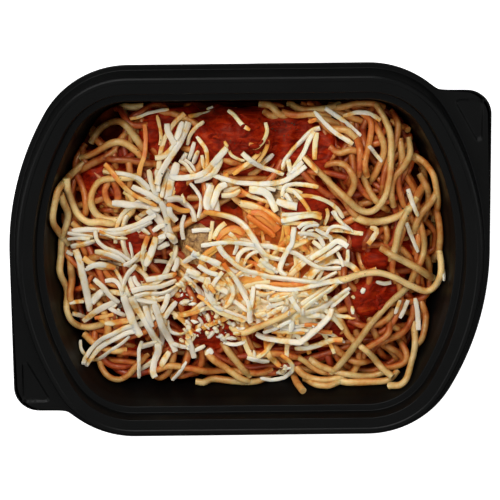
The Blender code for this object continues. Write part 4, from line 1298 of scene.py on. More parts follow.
# Strips darken towards the tray's sides, on the left as painted shade: from how far off its middle, over
# what width
SHADE_LEFT = (12 * MM, 20 * MM)
DARKER_RIGHT = (42 * MM, 16 * MM)
RIGHT_DARKENING = 0.55
SHRED_HEAPS = (
    # u, v, half sizes in pixels, how many, least and most stain
    (262, 262, 62, 58, 26, 0.4, 0.8),
    (292, 300, 44, 32, 40, 0.1, 0.5),
    (232, 304, 24, 22, 10, 0.1, 0.6),
    (125, 300, 50, 50, 7, 0.2, 0.7),
    (160, 205, 22, 34, 4, 0.2, 0.6),
    (300, 215, 30, 26, 6, 0.2, 0.7),
    (148, 308, 15, 21, 9, 0.1, 0.4),
)
MELTED = (
    # u, v, half sizes in pixels, stain
    (297, 303, 36, 26, 0.35),
    (262, 314, 32, 14, 0.33),
    (238, 300, 21, 17, 0.34),
    (262, 281, 30, 8, 0.85),
    (231, 236, 15, 9, 0.72),
    (264, 226, 18, 14, 0.95),
    (297, 243, 15, 12, 0.60),
    (168, 183, 8, 19, 0.15),
    (322, 262, 16, 15, 0.42),
    (146, 303, 13, 19, 0.26),
)
MELTED_THICK = 0.8 * MM
MELTED_LEVEL = 32 * MM
MELTED_RISE = 0.4 * MM
MELTED_SINK = 3.2 * MM
MELTED_LUMP = 0.15 * MM
MELTED_PASSES = 10
MELTED_SEED = 5
MELTED_RAGGED = 0.10
MELTED_CORE = 0.7
MELTED_FADE = 0.5
MELTED_EDGE = 0.03
MELTED_TONE = 0.95
UNMELTED_STAIN = 0.2
TRACED_SHREDS = (
    # stain at the first and the last point, width in pixels, then the points (u, v)
    # far side and the upper left cluster
    (0.6, 0.1, 4, 130, 119, 139, 117, 150.5, 112.5, 169, 109),
    (0.6, 0.1, 5, 188.5, 116.5, 199.5, 114.5, 211.5, 112, 225, 108),
    (0.3, 0.2, 4, 206.5, 109.5, 213, 107),
    (0.2, 0.6, 5, 228, 110.5, 232.5, 113.5, 236.5, 118, 240, 122.5, 244.5, 126.5, 250, 130),
    (0.8, 0.8, 5, 234.5, 108, 239, 112),
    (0.5, 0.4, 3.5, 157, 115, 159.5, 125.5, 161, 136.5, 159.5, 145),
    (0.8, 0.7, 5.5, 144, 124.5, 145.5, 132.5, 145.5, 144, 144, 157, 140, 168, 139, 177),
    (0.3, 0.5, 4, 265.5, 122.5, 267, 131.5, 263, 141.5, 256.5, 148, 253, 148),
    (0.9, 0.9, 4, 249, 144, 254.5, 145),
    (0.8, 0.9, 5, 308.5, 122, 317, 119),
    (0.9, 0.6, 5, 268, 140, 267, 146.5, 263, 154.5, 256.5, 164),
    (0.7, 0.4, 5, 260.5, 152, 251.5, 160.5, 240, 169, 233, 174.5),
    (0.1, 0.15, 6, 260.5, 164.5, 267, 159.5, 273.5, 154),
    (0.4, 0.3, 4, 224.5, 141, 228, 148.5, 231.5, 155, 239, 159.5, 244.5, 160.5),
    (0.15, 0.05, 5.5, 242, 153, 249.5, 159.5, 260.5, 166.5, 273, 170.5, 283.5, 174.5),
    (0.1, 0.3, 6.5, 167, 123.5, 168, 132, 172.5, 140, 174.5, 145.5, 169, 152, 161.5, 157, 155, 158),
    (0.1, 0.1, 6, 182.5, 121.5, 179, 132, 176, 140),
    (0.3, 0.3, 5, 204, 121.5, 196.5, 127, 190, 135.5, 187.5, 145),
    (0.2, 0.2, 4, 196.5, 136.5, 201, 142, 206, 149.5, 207.5, 160.5, 206.5, 168),
    (0.05, 0.05, 5, 194.5, 142, 192, 151, 189, 159.5),
    (0.05, 0.05, 5.5, 198.5, 150.5, 195.5, 157, 193, 164),
    (0.2, 0.6, 4.5, 202, 155, 203, 162.5, 204, 169),
    (0.1, 0.1, 6, 186.5, 153, 182, 160.5),
    (0.2, 0.4, 5, 179, 160.5, 185.5, 164, 191, 171.5, 196.5, 175.5),
    (0.1, 0.1, 3.5, 184.5, 159.5, 191, 164, 195.5, 171.5),
    (0.4, 0.1, 5, 103, 171, 112, 172.5, 122, 173.5, 131, 175.5, 138, 178, 145, 184, 149.5, 190),
    (0.75, 0.55, 5.5, 105, 164, 112, 172, 119, 181, 127, 189.5, 136, 196, 148.5, 202, 157, 206),
    (0.4, 0.1, 6, 148.5, 169.5, 150.5, 179, 153, 188, 157.5, 195.5, 161.5, 201),
    (0.3, 0.1, 6, 157, 169.5, 157.5, 181, 158.5, 192),
    (0.3, 0.1, 5, 169, 171.5, 165, 181, 162.5, 191, 161.5, 197.5),
    (0.05, 0.05, 8, 177, 162.5, 174.5, 171.5, 170.5, 181, 169, 190, 166, 199.5),
    (0.05, 0.05, 7, 189, 121.5, 184.5, 132.5, 179, 144, 172.5, 154, 165, 165, 159.5, 175.5, 157, 184.5),
    (0.1, 0.1, 7, 132, 186.5, 142, 191, 151.5, 195.5, 160.5, 202),
    (0.05, 0.05, 7, 112, 203, 121, 203.5, 130, 205, 141, 205, 150, 207, 160, 210),
    (0.2, 0.1, 5, 139, 225, 144, 230, 149.5, 234.5),
    (0.6, 0.5, 5, 135.5, 216, 141, 220.5),
    (0.1, 0.1, 5, 184.5, 215, 182, 223.5, 182, 231, 183.5, 239),
    (0.05, 0.05, 8, 147.5, 209.5, 156, 216, 162.5, 224.5, 167, 230),
    (0.05, 0.1, 8, 160.5, 201, 164, 208.5, 167, 218.5, 168, 229, 171.5, 236.5, 176, 243),
    (0.1, 0.1, 6, 169, 206.5, 170, 214, 176, 220.5),
    (0.05, 0.1, 7, 167, 200, 174.5, 198.5, 180, 199.5, 185.5, 204, 191, 209.5, 194, 216, 194.5, 221.5),
    (0.9, 0.7, 5, 167, 204, 174.5, 207.5, 182, 210.5, 190, 210.5),
    (0.15, 0.05, 6, 72, 231, 89, 229.5, 112, 230.5, 130, 227, 139, 223.5, 148.5, 218.5, 156, 214.5),
    (0.05, 0.05, 5, 100, 233, 118, 234, 136, 229, 152, 221.5),
    (0.1, 0.1, 5, 153, 231, 160.5, 226, 167, 224.5),
    (0.05, 0.05, 6, 167, 232.5, 160.5, 240, 157, 243),
    (0.1, 0.1, 7, 157.5, 247.5, 169, 243.5),
    # right of the mound
    (0.1, 0.3, 5, 314, 111, 332, 130, 353, 144),
    (0.1, 0.2, 5, 325, 108, 345, 122, 361, 136),
    (0.2, 0.5, 5, 343, 116, 357, 112.5, 370, 114, 380.5, 120.5),
    (0.05, 0.05, 5, 369, 146, 382, 162),
    (0.05, 0.05, 5.5, 320, 128, 312, 130.5, 303.5, 139, 293.5, 149, 285.5, 159.5, 282, 169.5),
    (0.1, 0.1, 5.5, 314.5, 131.5, 308.5, 141, 304, 152, 296, 165, 288, 176),
    (0.3, 0.5, 5.5, 317, 132.5, 315, 145, 314.5, 159.5),
    (0.1, 0.1, 5, 288, 159.5, 290.5, 171.5),
    (0.1, 0.05, 6, 303, 161.5, 296, 168, 291, 174.5),
    (0.05, 0.1, 6, 212, 175, 222, 178, 236, 182, 250, 183.5, 262, 184, 274, 183, 284, 181, 294, 175,
     306, 166),
    (0.4, 0.4, 5, 303, 157, 311, 165, 318, 172),
    (0.1, 0.8, 6, 370, 227, 377, 231, 368, 244),
    (0.1, 0.1, 5, 332, 211, 341, 222, 353, 232),
    (0.05, 0.05, 5, 391, 282.5, 383, 283.5, 376, 281.5),
    (0.1, 0.1, 5, 352, 306, 353, 314),
    (0.05, 0.05, 6, 415, 298, 417.5, 312, 418.5, 330),
    (0.1, 0.1, 4.5, 408, 300, 400, 318),
    (0.1, 0.1, 4.5, 400, 300, 395, 314),
    (0.2, 0.1, 4.5, 438, 257, 443.5, 270, 444.5, 281),
    (0.1, 0.2, 5, 408, 189, 412, 202, 418, 216),
    (0.2, 0.2, 4.5, 406, 222, 413, 240, 418, 252),
    # the mound, from below upwards
    (0.7, 0.7, 8, 216, 240, 224, 232, 234, 229, 244, 234),
    (0.6, 0.5, 7, 286, 236, 296, 242, 305, 250),
    (0.5, 0.4, 6, 288, 248, 298, 244, 308, 240),
    (0.4, 0.9, 8, 241, 203.5, 251, 205.5, 261.5, 209.5, 271.5, 214.5, 282, 223),
    (0.95, 1, 8, 247, 215.5, 255.5, 221, 263.5, 227, 271.5, 233, 273.5, 237),
    (0.9, 1, 9, 256.5, 213.5, 263.5, 218, 271.5, 224, 278, 230),
    (0.9, 0.9, 6, 251, 212.5, 261.5, 213.5, 269.5, 219, 275.5, 225),
    (0.5, 0.3, 5, 225.5, 223, 218.5, 229, 213.5, 239),
    (0.4, 0.4, 4, 212.5, 221, 211.5, 231, 209.5, 241),
    (0.05, 0.05, 5, 229, 233, 235, 238, 237, 245.5, 234, 254.5),
    (0.05, 0.05, 6, 192, 231, 200, 230, 210.5, 230),
    (0.1, 0.2, 5, 237, 262.5, 239, 254.5, 245, 249.5, 253.5, 247.5, 261.5, 248.5),
    (0.1, 0.2, 4, 244, 264.5, 247, 257.5, 253.5, 252.5, 261.5, 250.5),
    (0.05, 0.05, 6, 259.5, 259.5, 267.5, 265.5, 278, 272),
    (0.05, 0.1, 6, 258.5, 263, 265.5, 269, 274.5, 273.5),
    (0.1, 0.1, 8, 209.5, 183, 210.5, 189, 214.5, 198.5, 217.5, 212.5),
    (0.3, 0.5, 6, 223.5, 191, 231, 189, 240, 187),
    (0.3, 0.4, 6, 221.5, 195.5, 233, 194.5, 241, 190),
    (0.05, 0.05, 7, 227, 183.5, 219, 188, 215, 197.5, 211.5, 206.5, 207.5, 212.5),
    (0.05, 0.05, 8, 211.5, 184.5, 208.5, 194, 206.5, 203, 209.5, 211.5),
    (0.1, 0.2, 4, 190, 183, 196, 190, 200.5, 198, 200.5, 207, 198, 218),
    (0.3, 0.05, 6, 221.5, 158.5, 216, 169.5, 210.5, 175.5, 203, 179, 194.5, 181.5),
    (0.05, 0.05, 6.5, 227, 147.5, 219, 157, 211.5, 166, 203, 173.5, 190, 177, 176, 178, 170, 176),
    (0.05, 0.1, 5, 265.5, 188, 275.5, 190),
    (0.05, 0.3, 8, 249, 189, 261.5, 191, 268.5, 195.5, 272.5, 203.5, 276.5, 211.5),
    (0.05, 0.6, 5.5, 283, 200, 282.5, 193, 285, 186.5, 295, 184, 307, 185, 318.5, 187),
    (0.05, 0.05, 6, 285, 193.5, 290, 200.5, 292, 204.5),
    (0.05, 0.05, 8, 276.5, 200.5, 287, 204.5, 297, 206.5),
    (0.2, 0.4, 5, 293, 190, 299, 196.5, 305.5, 204.5, 309.5, 211.5),
    (0.1, 0.7, 5, 282, 214.5, 297, 214.5, 312.5, 213.5, 321.5, 214.5),
    (0.05, 0.6, 6, 281, 221, 292, 219, 302, 216.5, 312.5, 215.5, 321.5, 218),
    (0.6, 0.4, 4, 326.5, 208.5, 328, 214.5, 324.5, 225),
    (0.2, 0.1, 4.5, 334, 210.5, 338, 219, 344, 225),
    (0.1, 0.1, 4.5, 298, 228, 303.5, 224, 312.5, 223, 318.5, 226),
    (0.1, 0.1, 4, 301, 236, 303.5, 229, 309.5, 225.5, 318.5, 225),
    (0.2, 0.2, 4, 304.5, 238, 307.5, 232, 313.5, 230),
    (0.1, 0.1, 5, 298, 233, 310.5, 234, 318.5, 237, 323.5, 245.5, 321.5, 251.5),
    (0.1, 0.1, 5, 315.5, 229, 322.5, 233, 330, 237, 332, 243.5),
    (0.1, 0.1, 4.5, 326.5, 235, 329, 229, 335, 226, 343, 227, 350, 230),
    (0.2, 0.2, 5, 312.5, 241, 320.5, 247.5, 325.5, 255.5),
    (0.3, 0.1, 4.5, 337, 251.5, 341, 259.5, 343, 266.5),
    (0.2, 0.2, 4.5, 348, 249.5, 347.5, 261.5),
    (0.05, 0.05, 5, 314.5, 262, 323.5, 257, 333, 251, 342, 245),
    (0.05, 0.05, 6.5, 310.5, 258.5, 318.5, 253.5, 328, 247.5, 338, 241, 348, 246.5),
    (0.2, 0.2, 6, 217, 281.5, 225.5, 285),
    (0.1, 0.1, 6.5, 214.5, 286, 221, 289, 227.5, 292.5),
    (0.2, 0.2, 6, 256, 292.5, 266.5, 294.5, 275.5, 291.5),
    (0.25, 0.25, 5.5, 269, 300, 279.5, 299, 288.5, 295.5),
    (0.1, 0.2, 5.5, 266.5, 307.5, 275.5, 304.5, 284, 302),
    (0.05, 0.1, 6, 266.5, 316, 275.5, 311, 284, 306.5),
    (0.2, 0.1, 6, 256, 316, 266.5, 313),
    (0.1, 0.1, 6, 230, 298, 240.5, 305.5, 247, 311),
    (0.1, 0.1, 6, 223.5, 311, 234, 315, 247, 319.5),
    (0.8, 0.8, 5, 270, 284, 294, 285, 310, 283),
    (0.05, 0.05, 7, 192, 252.5, 202, 257.5, 213.5, 261.5, 220.5, 264.5),
    (0.05, 0.05, 6, 198, 265.5, 208.5, 272, 218.5, 275),
    (0.05, 0.05, 7, 190, 274, 200, 278, 208.5, 282),
    (0.6, 0.1, 5, 223.5, 263.5, 228, 270, 235, 278, 241, 287, 247, 295.5),
    (0.1, 0.05, 6, 222.5, 272, 217.5, 278, 212.5, 286, 211.5, 295.5, 210.5, 300.5),
    (0.1, 0.1, 5, 226.5, 277, 232, 286, 233, 294.5, 229, 303, 224.5, 307.5),
    (0.05, 0.05, 7, 208, 277, 207, 288, 209.5, 296.5, 216, 305.5, 222.5, 312),
    (0.05, 0.05, 5.5, 184.5, 276, 191, 281.5, 196.5, 288, 200.5, 294.5),
    (0.7, 0.4, 5, 197.5, 295.5, 205, 300, 212.5, 307.5, 223.5, 314, 245, 321.5),
    (0.05, 0.05, 6, 253.5, 286, 252.5, 296.5, 250.5, 309.5, 249.5, 321.5),
    (0.05, 0.05, 6.5, 234, 276, 239.5, 286, 245, 296.5, 249.5, 306.5, 249.5, 318.5, 250.5, 322.5),
    (0.2, 0.2, 7, 301.5, 304.5, 315.5, 295.5, 329.5, 286),
    (0.15, 0.15, 7, 300.5, 312, 310, 303, 321, 295.5, 332, 288, 338.5, 281.5),
    (0.05, 0.05, 5.5, 290.5, 296.5, 295, 304.5, 300.5, 312),
    (0.2, 0.2, 6, 306, 316, 320, 315),
    (0.9, 0.9, 4.5, 304.5, 325, 317.5, 325),
    (0.8, 0.7, 4.5, 319, 331.5, 332, 332.5),
    (0.5, 0.7, 4.5, 272, 331.5, 288.5, 332, 304.5, 333.5),
    (0.3, 0.3, 5, 324, 294.5, 326.5, 301),
    (0.05, 0.05, 5, 330.5, 307.5, 340.5, 299, 349, 291.5),
    (0.05, 0.05, 6, 300.5, 313, 310, 312, 320, 308.5, 329.5, 303, 340.5, 294.5, 350, 288),
    (0.1, 0.05, 6, 291.5, 320.5, 291.5, 327, 290.5, 331.5),
    (0.05, 0.05, 5, 263.5, 332.5, 274.5, 329, 284, 324, 291.5, 320.5),
    (0.1, 0.05, 5.5, 262.5, 335.5, 275.5, 338.5, 289.5, 340),
    (0.05, 0.05, 6.5, 256, 333.5, 264.5, 338, 277.5, 340, 294, 342, 300.5, 342, 310, 334.5, 321, 325,
     329.5, 316, 332, 308.5),
    (0.05, 0.05, 6, 201, 245.5, 215, 243.5, 229, 242, 241, 243, 255, 245, 271.5, 246.5, 282, 249.5,
     294, 252.5, 304, 258.5, 312.5, 264.5, 323, 268, 341, 268),
    (0.8, 0.05, 6.5, 203.5, 211.5, 215.5, 213.5, 228.5, 216.5, 240, 222, 248.5, 231, 255, 240.5, 260,
     249, 268, 256, 280, 259.5),
    (0.05, 0.05, 6, 294, 227, 293, 235, 292, 243.5, 287, 251.5, 283, 259.5, 280, 270, 286, 276),
    (0.05, 0.1, 6.5, 218.5, 245.5, 223.5, 253.5, 231, 260.5, 239, 267, 247, 271, 257, 273, 271.5, 277,
     287, 279, 302, 281, 317.5, 282, 326, 278, 337, 272),
    (0.05, 0.1, 5.5, 255, 286, 266.5, 287, 283, 289.5, 299, 289, 315.5, 285, 332, 281.5, 346, 280.5),
    # near side, below the mound
    (0.2, 0.4, 5.5, 295, 348.5, 308, 347.5, 319, 344.5, 332, 340, 342.5, 340),
    (0.1, 0.1, 6, 247, 357.5, 260, 360.5, 269, 361.5),
    (0.1, 0.1, 5, 223.5, 342, 234, 344.5, 245, 342),
    (0.05, 0.8, 5, 260, 378, 272, 380, 283, 378, 291.5, 371.5, 292.5, 366, 288.5, 360.5, 281, 355),
    (0.1, 0.2, 4.5, 194, 351, 205, 345.5),
    # lower left
    (0.2, 0.2, 5, 66.5, 251.5, 73, 254.5),
    (0.2, 0.3, 4.5, 69.5, 303.5, 77.5, 301.5, 83.5, 301.5),
    (0.1, 0.1, 5, 72.5, 313.5, 80.5, 315.5, 86.5, 318),
    (0.1, 0.4, 5, 67.5, 233, 80.5, 235, 93, 237),
    (0.1, 0.3, 5, 67.5, 239, 78.5, 238, 90, 239),
    (0.05, 0.05, 6, 71.5, 246.5, 82.5, 244.5, 95, 241),
    (0.3, 0.3, 4, 99, 231, 107, 235, 115.5, 238, 127.5, 238.5),
    (0.4, 0.1, 6, 95, 251.5, 107, 253.5, 117.5, 257.5, 124.5, 262.5),
    (0.05, 0.05, 5.5, 95, 230, 97, 240, 105, 247.5, 115.5, 251.5, 125.5, 257.5, 131.5, 261.5),
    (0.05, 0.05, 3, 129.5, 242, 131.5, 250.5, 132.5, 258.5),
    (0.1, 0.05, 5, 146, 249.5, 139, 254.5, 131.5, 261.5, 123.5, 265.5),
    (0.4, 0.4, 5, 89, 285, 95, 289.5),
    (0.1, 0.1, 7, 92, 302.5, 98, 295.5, 103, 290),
    (0.05, 0.7, 6, 85.5, 270, 93, 265.5, 104, 264.5, 115.5, 268),
    (0.05, 0.05, 8, 75.5, 249.5, 79.5, 260.5, 82.5, 274, 85.5, 287, 88, 299.5, 90, 310.5),
    (0.8, 0.6, 5, 95, 318, 105, 316.5, 113.5, 314.5),
    (0.1, 0.1, 5, 107, 306.5, 115.5, 311.5, 125.5, 315.5),
    (0.1, 0.05, 6.5, 83.5, 321, 93, 313.5, 103, 307.5, 115.5, 301.5),
    (0.05, 0.05, 5.5, 94, 279, 103, 287, 111, 296.5, 119.5, 302.5),
    (0.05, 0.05, 5, 105, 281, 113.5, 280, 119.5, 285, 122.5, 293.5, 123.5, 301.5),
    (0.1, 0.1, 5, 133.5, 276, 136.5, 283, 142, 288),
    (0.1, 0.1, 7, 167.5, 243.5, 157, 248.5),
    (0.1, 0.1, 7, 166.5, 234, 174.5, 238),
    (0.1, 0.1, 6, 165.5, 236, 158, 238),
    (0.7, 0.2, 6, 148, 236, 144, 247.5, 142, 256.5, 144, 263.5, 145, 271),
    (0.5, 0.05, 7, 156, 237, 153, 247.5, 149, 258.5, 145, 265.5),
    (0.05, 0.05, 6, 136.5, 264.5, 129.5, 272, 124.5, 281, 122.5, 291),
    (0.1, 0.1, 6, 176.5, 301.5, 170.5, 308.5, 164.5, 318),
    (0.1, 0.1, 6, 168.5, 293.5, 165.5, 303.5, 161, 312.5),
    (0.1, 0.2, 5, 134.5, 298.5, 147, 301.5, 157, 302.5),
    (0.05, 0.05, 5, 134.5, 296.5, 147, 293.5, 160, 293.5, 170.5, 290, 178.5, 284),
    (0.1, 0.6, 6, 146, 280, 157, 278, 167.5, 276, 176.5, 274),
    (0.05, 0.05, 6, 131.5, 291, 144, 288, 157, 287, 167.5, 284, 176.5, 280),
    (0.1, 0.1, 6, 145, 305.5, 148, 316.5, 152, 327),
    (0.05, 0.1, 7, 154, 303.5, 158, 314.5, 162, 326, 167.5, 336, 172.5, 344.5, 175.5, 351.5),
    (0.05, 0.05, 8, 123.5, 295.5, 127.5, 306.5, 131.5, 318, 135.5, 328, 141, 336),
    (0.05, 0.05, 8, 131.5, 297.5, 136.5, 307.5, 144, 319, 150, 330, 156, 340, 160, 344.5),
    (0.1, 0.1, 4, 167.5, 320, 168.5, 328, 173.5, 333, 181.5, 334, 188, 331),
    (0.1, 0.1, 5, 172.5, 343.5, 182.5, 346.5, 191, 347.5),
    (0.05, 0.2, 6, 189, 325, 188, 333, 190, 343.5, 193, 352.5, 194, 357.5),
    (0.1, 0.3, 4, 197, 332, 192, 341),
    (0.1, 0.1, 6, 141, 346.5, 152, 343.5, 158, 341),
    (0.05, 0.1, 5, 142, 341, 139, 350.5, 139, 362.5, 139, 378),
    (0.05, 0.05, 8, 158, 343.5, 158, 352.5, 154, 362.5, 153, 372, 155, 377),
    (0.3, 0.4, 6, 169.5, 351.5, 164.5, 359.5, 161, 366.5),
    (0.2, 0.1, 4, 186.5, 361.5, 179.5, 372, 172.5, 380),
    (0.1, 0.05, 4, 80.5, 340, 80.5, 348.5, 84.5, 354.5, 93, 359.5, 101, 357.5, 111, 350.5, 123.5, 342,
     129.5, 336),
    (0.05, 0.05, 5.5, 85, 366.5, 90.5, 359, 96.5, 351, 104.5, 344, 116.5, 337.5, 127.5, 332.5, 135.5,
     331),
    (0.05, 0.05, 5.5, 82, 364.5, 86.5, 356, 92.5, 347.5, 102, 339, 114.5, 333, 125.5, 327.5, 133.5,
     326),
    (0.1, 0.1, 6, 177.5, 257.5, 176.5, 264.5, 173.5, 271),
    (0.1, 0.1, 6, 183.5, 262.5, 193, 256.5, 200, 253.5),
    (0.1, 0.1, 7, 186.5, 270, 200, 275),
)


def off_the_wall(x, y):
    """Free distance to the wall and to the places left bare, for strips of cheese."""
    return free_of(x, y, SHRED_HALF_WIDTH + SHRED_MARGIN, SHRED_WALL_Z, BARE_SIDES, BARE_LEVEL)


def shred_strand(rng, x, y, z, first_stain, last_stain, width):
    """A strip with rough ends, narrower at one or both; darker at the tray's sides, on the left by painted
    shade.
    """
    along = np.linspace(0.0, 1.0, len(x))
    late = 1.0 if last_stain > first_stain else 0.0
    stain_here = first_stain + (last_stain - first_stain) * ease(along * 2.2 - 1.2 * late)
    strand = make_strand(x, y, z, SHRED_SPACING, rng, stain_here + SHRED_POOL_STAIN * pools_at(x, y)[0],
                         SHRED_GIRTH_SWING, rng.uniform(-SHRED_TWIST, SHRED_TWIST))
    marks = np.linspace(0.0, 1.0, len(strand["points"]))
    tips = [rng.uniform(NARROWEST_TIP, 1.0), rng.uniform(NARROWEST_TIP, 1.0)]
    taper = [tip + (1 - tip) * ease(from_tip * len(marks) / TIP_POINTS)
             for tip, from_tip in zip(tips, (marks, 1 - marks))]
    strand["girth"] = strand["girth"] * np.minimum(*taper) * width / (2 * SHRED_HALF_WIDTH)
    # Painted shade darkens the strips at the left end; those at the right are darker too.
    on_the_left = ease((-x.mean() - SHADE_LEFT[0]) / SHADE_LEFT[1])
    on_the_right = ease((x.mean() - DARKER_RIGHT[0]) / DARKER_RIGHT[1])
    strand["tone"] = 0.7 + 0.3 * strand["tone"] - (0.6 - 0.1 * strand["tone"]) * on_the_left
    strand["tone"] = strand["tone"] - RIGHT_DARKENING * on_the_right
    strand["twist"] = strand["twist"] + rng.uniform(-SHRED_CURL, SHRED_CURL) * marks
    return strand


def in_patch(rng, u, v, half_u, half_v):
    """A random picture point in an oval patch."""
    angle, away = rng.uniform(0, 2 * math.pi), math.sqrt(rng.random())
    return u + half_u * away * math.cos(angle), v + half_v * away * math.sin(angle)


rng = random.Random(SHRED_SEED)
shreds = []
for *heap, count, least, most in SHRED_HEAPS:
    for _ in range(count):
        start = plan(*in_patch(rng, *heap), SHRED_LEVEL)
        route = wander(rng, *start, SHRED_LENGTH, SHRED_BEND, off_the_wall)
        if len(route) < SHRED_SHORTEST:
            continue
        width = rng.uniform(*SHRED_PIXELS) * PIXEL
        z = rest(*route.T, width / 2, SHRED_LIFT, SHRED_STIFFNESS)
        x, y = keep_in(*route.T, z, width / 2)
        raise_top(x, y, z, width / 2, SHRED_HALF_THICK)
        shreds.append(shred_strand(rng, x, y, z, rng.uniform(least, most), rng.uniform(least, most),
                                   width))
ragged = ragged_map(np.random.default_rng(MELTED_SEED), MELTED_PASSES)
melted_share = np.zeros_like(top)
melted_stain = np.full_like(top, UNMELTED_STAIN)
for u, v, half_u, half_v, stain_level in MELTED:
    middle_x, middle_y = plan(u, v, MELTED_LEVEL)
    away = np.hypot((GRID_X - middle_x) / (half_u * PIXEL), (GRID_Y - middle_y) / (half_v * PIXEL))
    here = 1 - ease((away + MELTED_RAGGED * ragged - MELTED_CORE) / MELTED_FADE)
    melted_stain = np.where(here > melted_share, stain_level, melted_stain)
    melted_share = np.maximum(melted_share, here)
melted_level = blur(top, 9) + MELTED_RISE - MELTED_SINK * (1 - melted_share) + MELTED_LUMP * ragged
melted_stain = blur(melted_stain, 6)
top = np.where(melted_share > 0.5, np.maximum(top, melted_level), top)
for first_stain, last_stain, pixels, *flat in TRACED_SHREDS:
    width = TRACED_WIDTH * pixels * PIXEL
    x, y, z = lay_traced(flat, width / 2, TRACED_SHRED_LIFT, TRACED_SHRED_STIFFNESS)
    raise_top(x, y, z, width / 2, SHRED_HALF_THICK / 2)
    shreds.append(shred_strand(rng, x, y, z, first_stain, last_stain, width))

cheese, tree, shader, place = new_surface("grated_white_cheese")
tone = marked(tree, "tone")
blotch = mapped(tree, speckle(tree, place, 170.0, 3.0), 0.50, 0.74, -0.08, 0.62)
# A strip's sides get more stain than its top: partly sauce, partly painted shade.
tint = colour_ramp(tree, stain_and_side_shade(tree, blotch, 0.34), (0.08, 0.885, 0.80, 0.645),
                   (0.34, 0.885, 0.705, 0.39), (0.60, 0.86, 0.43, 0.075), (1.0, 0.76, 0.20, 0.022))
shade = mapped(tree, tone, 0.0, 1.0, 0.78, 1.12)
lane_spot = put(tree, "ShaderNodeCombineXYZ", {
    "X": calc(tree, "MULTIPLY", marked(tree, "across"), 2.6), "Y": calc(tree, "MULTIPLY", tone, 60.0)})
drift = put(tree, "ShaderNodeVectorMath", {0: place, "Scale": 90.0}, operation="SCALE")
lane_spot = put(tree, "ShaderNodeVectorMath", {0: lane_spot.outputs[0], 1: drift.outputs[0]},
                operation="ADD")
coarse = put(tree, "ShaderNodeMix", {"Factor": 0.4, 2: speckle(tree, lane_spot.outputs[0], 1.0, 2.0),
                                     3: speckle(tree, place, 900.0, 3.0)})
plug(tree, shader, {
    "Base Color": tint_mix(tree, 1.0, tint, shade, "MULTIPLY"),
    "Normal": bump(tree, coarse.outputs[0], 0.6, 0.6 * MM),
    "Roughness": 0.45,
    "Subsurface Weight": 0.6,
    "Subsurface Radius": (1.0, 0.86, 0.64),
    "Subsurface Scale": 1.4 * MM})

shred_tree = strand_tree("shreds_on_routes", flat=True)
shredded = sweep_strands("cheese_shreds", shreds, shred_tree, {
    "Half width": SHRED_HALF_WIDTH, "Half thickness": SHRED_HALF_THICK,
    "Unevenness": 0.5 * MM, "Grain scale": 480.0, "Finish": cheese})
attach(shredded, "root")
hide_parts("shredded_cheese")

melted_cheese = sheet_on("melted_cheese", melted_level,
                         lambda x, y: read_top(x, y, melted_share) > MELTED_EDGE, MELTED_THICK, cheese)
mark_points(melted_cheese, "stain", lambda x, y: read_top(x, y, melted_stain))
mark_points(melted_cheese, "tone", lambda x, y: np.full_like(x, MELTED_TONE))
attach(melted_cheese, "root")
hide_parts("shredded_cheese")

# The stray noodles: a few strands of spaghetti that came up over the cheese when the dish was plated.
# They are the palest, as no sauce reached them, and lie across the heap and down on to the pasta.
STRAY_LIFT = NOODLE_HALF * 0.45
STRAY_NOODLES = (
    # stain, then the points (u, v)
    (0.1, 229, 326, 236.5, 331.5, 245, 332.5, 258, 327, 272, 321.5, 286, 315, 297, 311),
    (0.0, 336, 283, 345, 279.5, 361.5, 274, 377.5, 272.5, 393.5, 277, 409.5, 285, 425.5, 291, 435, 286,
     440.5, 275, 441, 262, 439, 250),
)
stray = []
for stain_level, *flat in STRAY_NOODLES:
    x, y, z = lay_traced(flat, NOODLE_HALF, STRAY_LIFT, TRACED_STIFFNESS)
    z = tuck(x, y, z)
    raise_top(x, y, z, NOODLE_HALF, NOODLE_HALF)
    stray.append({**noodle(x, y, z, UPPER_SPACING, rng, stain_level), "tone": 1.0})
stray_noodles = sweep_strands("stray_noodles", stray, noodle_tree, top_noodle_sizes)
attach(stray_noodles, "root")
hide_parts("spaghetti")

# The small bits: crumbs of cheese that broke off in the grater, soft pieces of tomato that the sauce
# leaves standing, and dark flakes of dried herb. They lie where the dish was served, on all the rest.
CRUMB_PATCHES = (
    # u, v, half sizes in pixels, how many
    (205, 300, 20, 12, 18),
    (203, 325, 20, 14, 30),
    (228, 330, 15, 10, 16),
    (187, 292, 8, 12, 12),
    (185, 344, 10, 8, 7),
    (116, 308, 5, 5, 4),
    (283, 370, 5, 5, 14),
    (290, 305, 30, 14, 16),
    (250, 300, 80, 60, 14),
    (184, 197, 1, 1, 1),
)
CRUMB_SIZE = (0.7 * MM, 2.4 * MM)
CRUMB_LENGTH = (1.1, 2.6)
CRUMB_HEIGHT = (0.6, 0.9)
CRUMB_STAIN = (0.0, 0.35)
FLAKE_STAIN = 0.05
FLAKES = ((209, 352, 4.2, 3.4, 1.0), (363, 290.5, 3.0, 2.4, 1.8), (353, 297, 2.2, 1.8, 1.4))
PULP_PATCHES = ((252, 132, 42, 20, 22), (378, 297, 20, 14, 8), (205, 325, 18, 12, 8))
PULP_SIZE = (2.2 * MM, 5.0 * MM)
PULP_WIDTH = (0.35, 0.6)
PULP_HEIGHT = (0.2, 0.3)
HERB_PATCHES = ((248, 240, 180, 130, 90), (284, 128, 14, 8, 15))
HERB_SIZE = (0.3 * MM, 0.9 * MM)
HERB_WIDTH = (0.5, 0.9)
HERB_THICK = 0.25 * MM
BIT_SINK = 0.1
PULP_SINK = 0.35
BIT_TILT = 0.25
BIT_TRIES = 4
BIT_SEED = 33


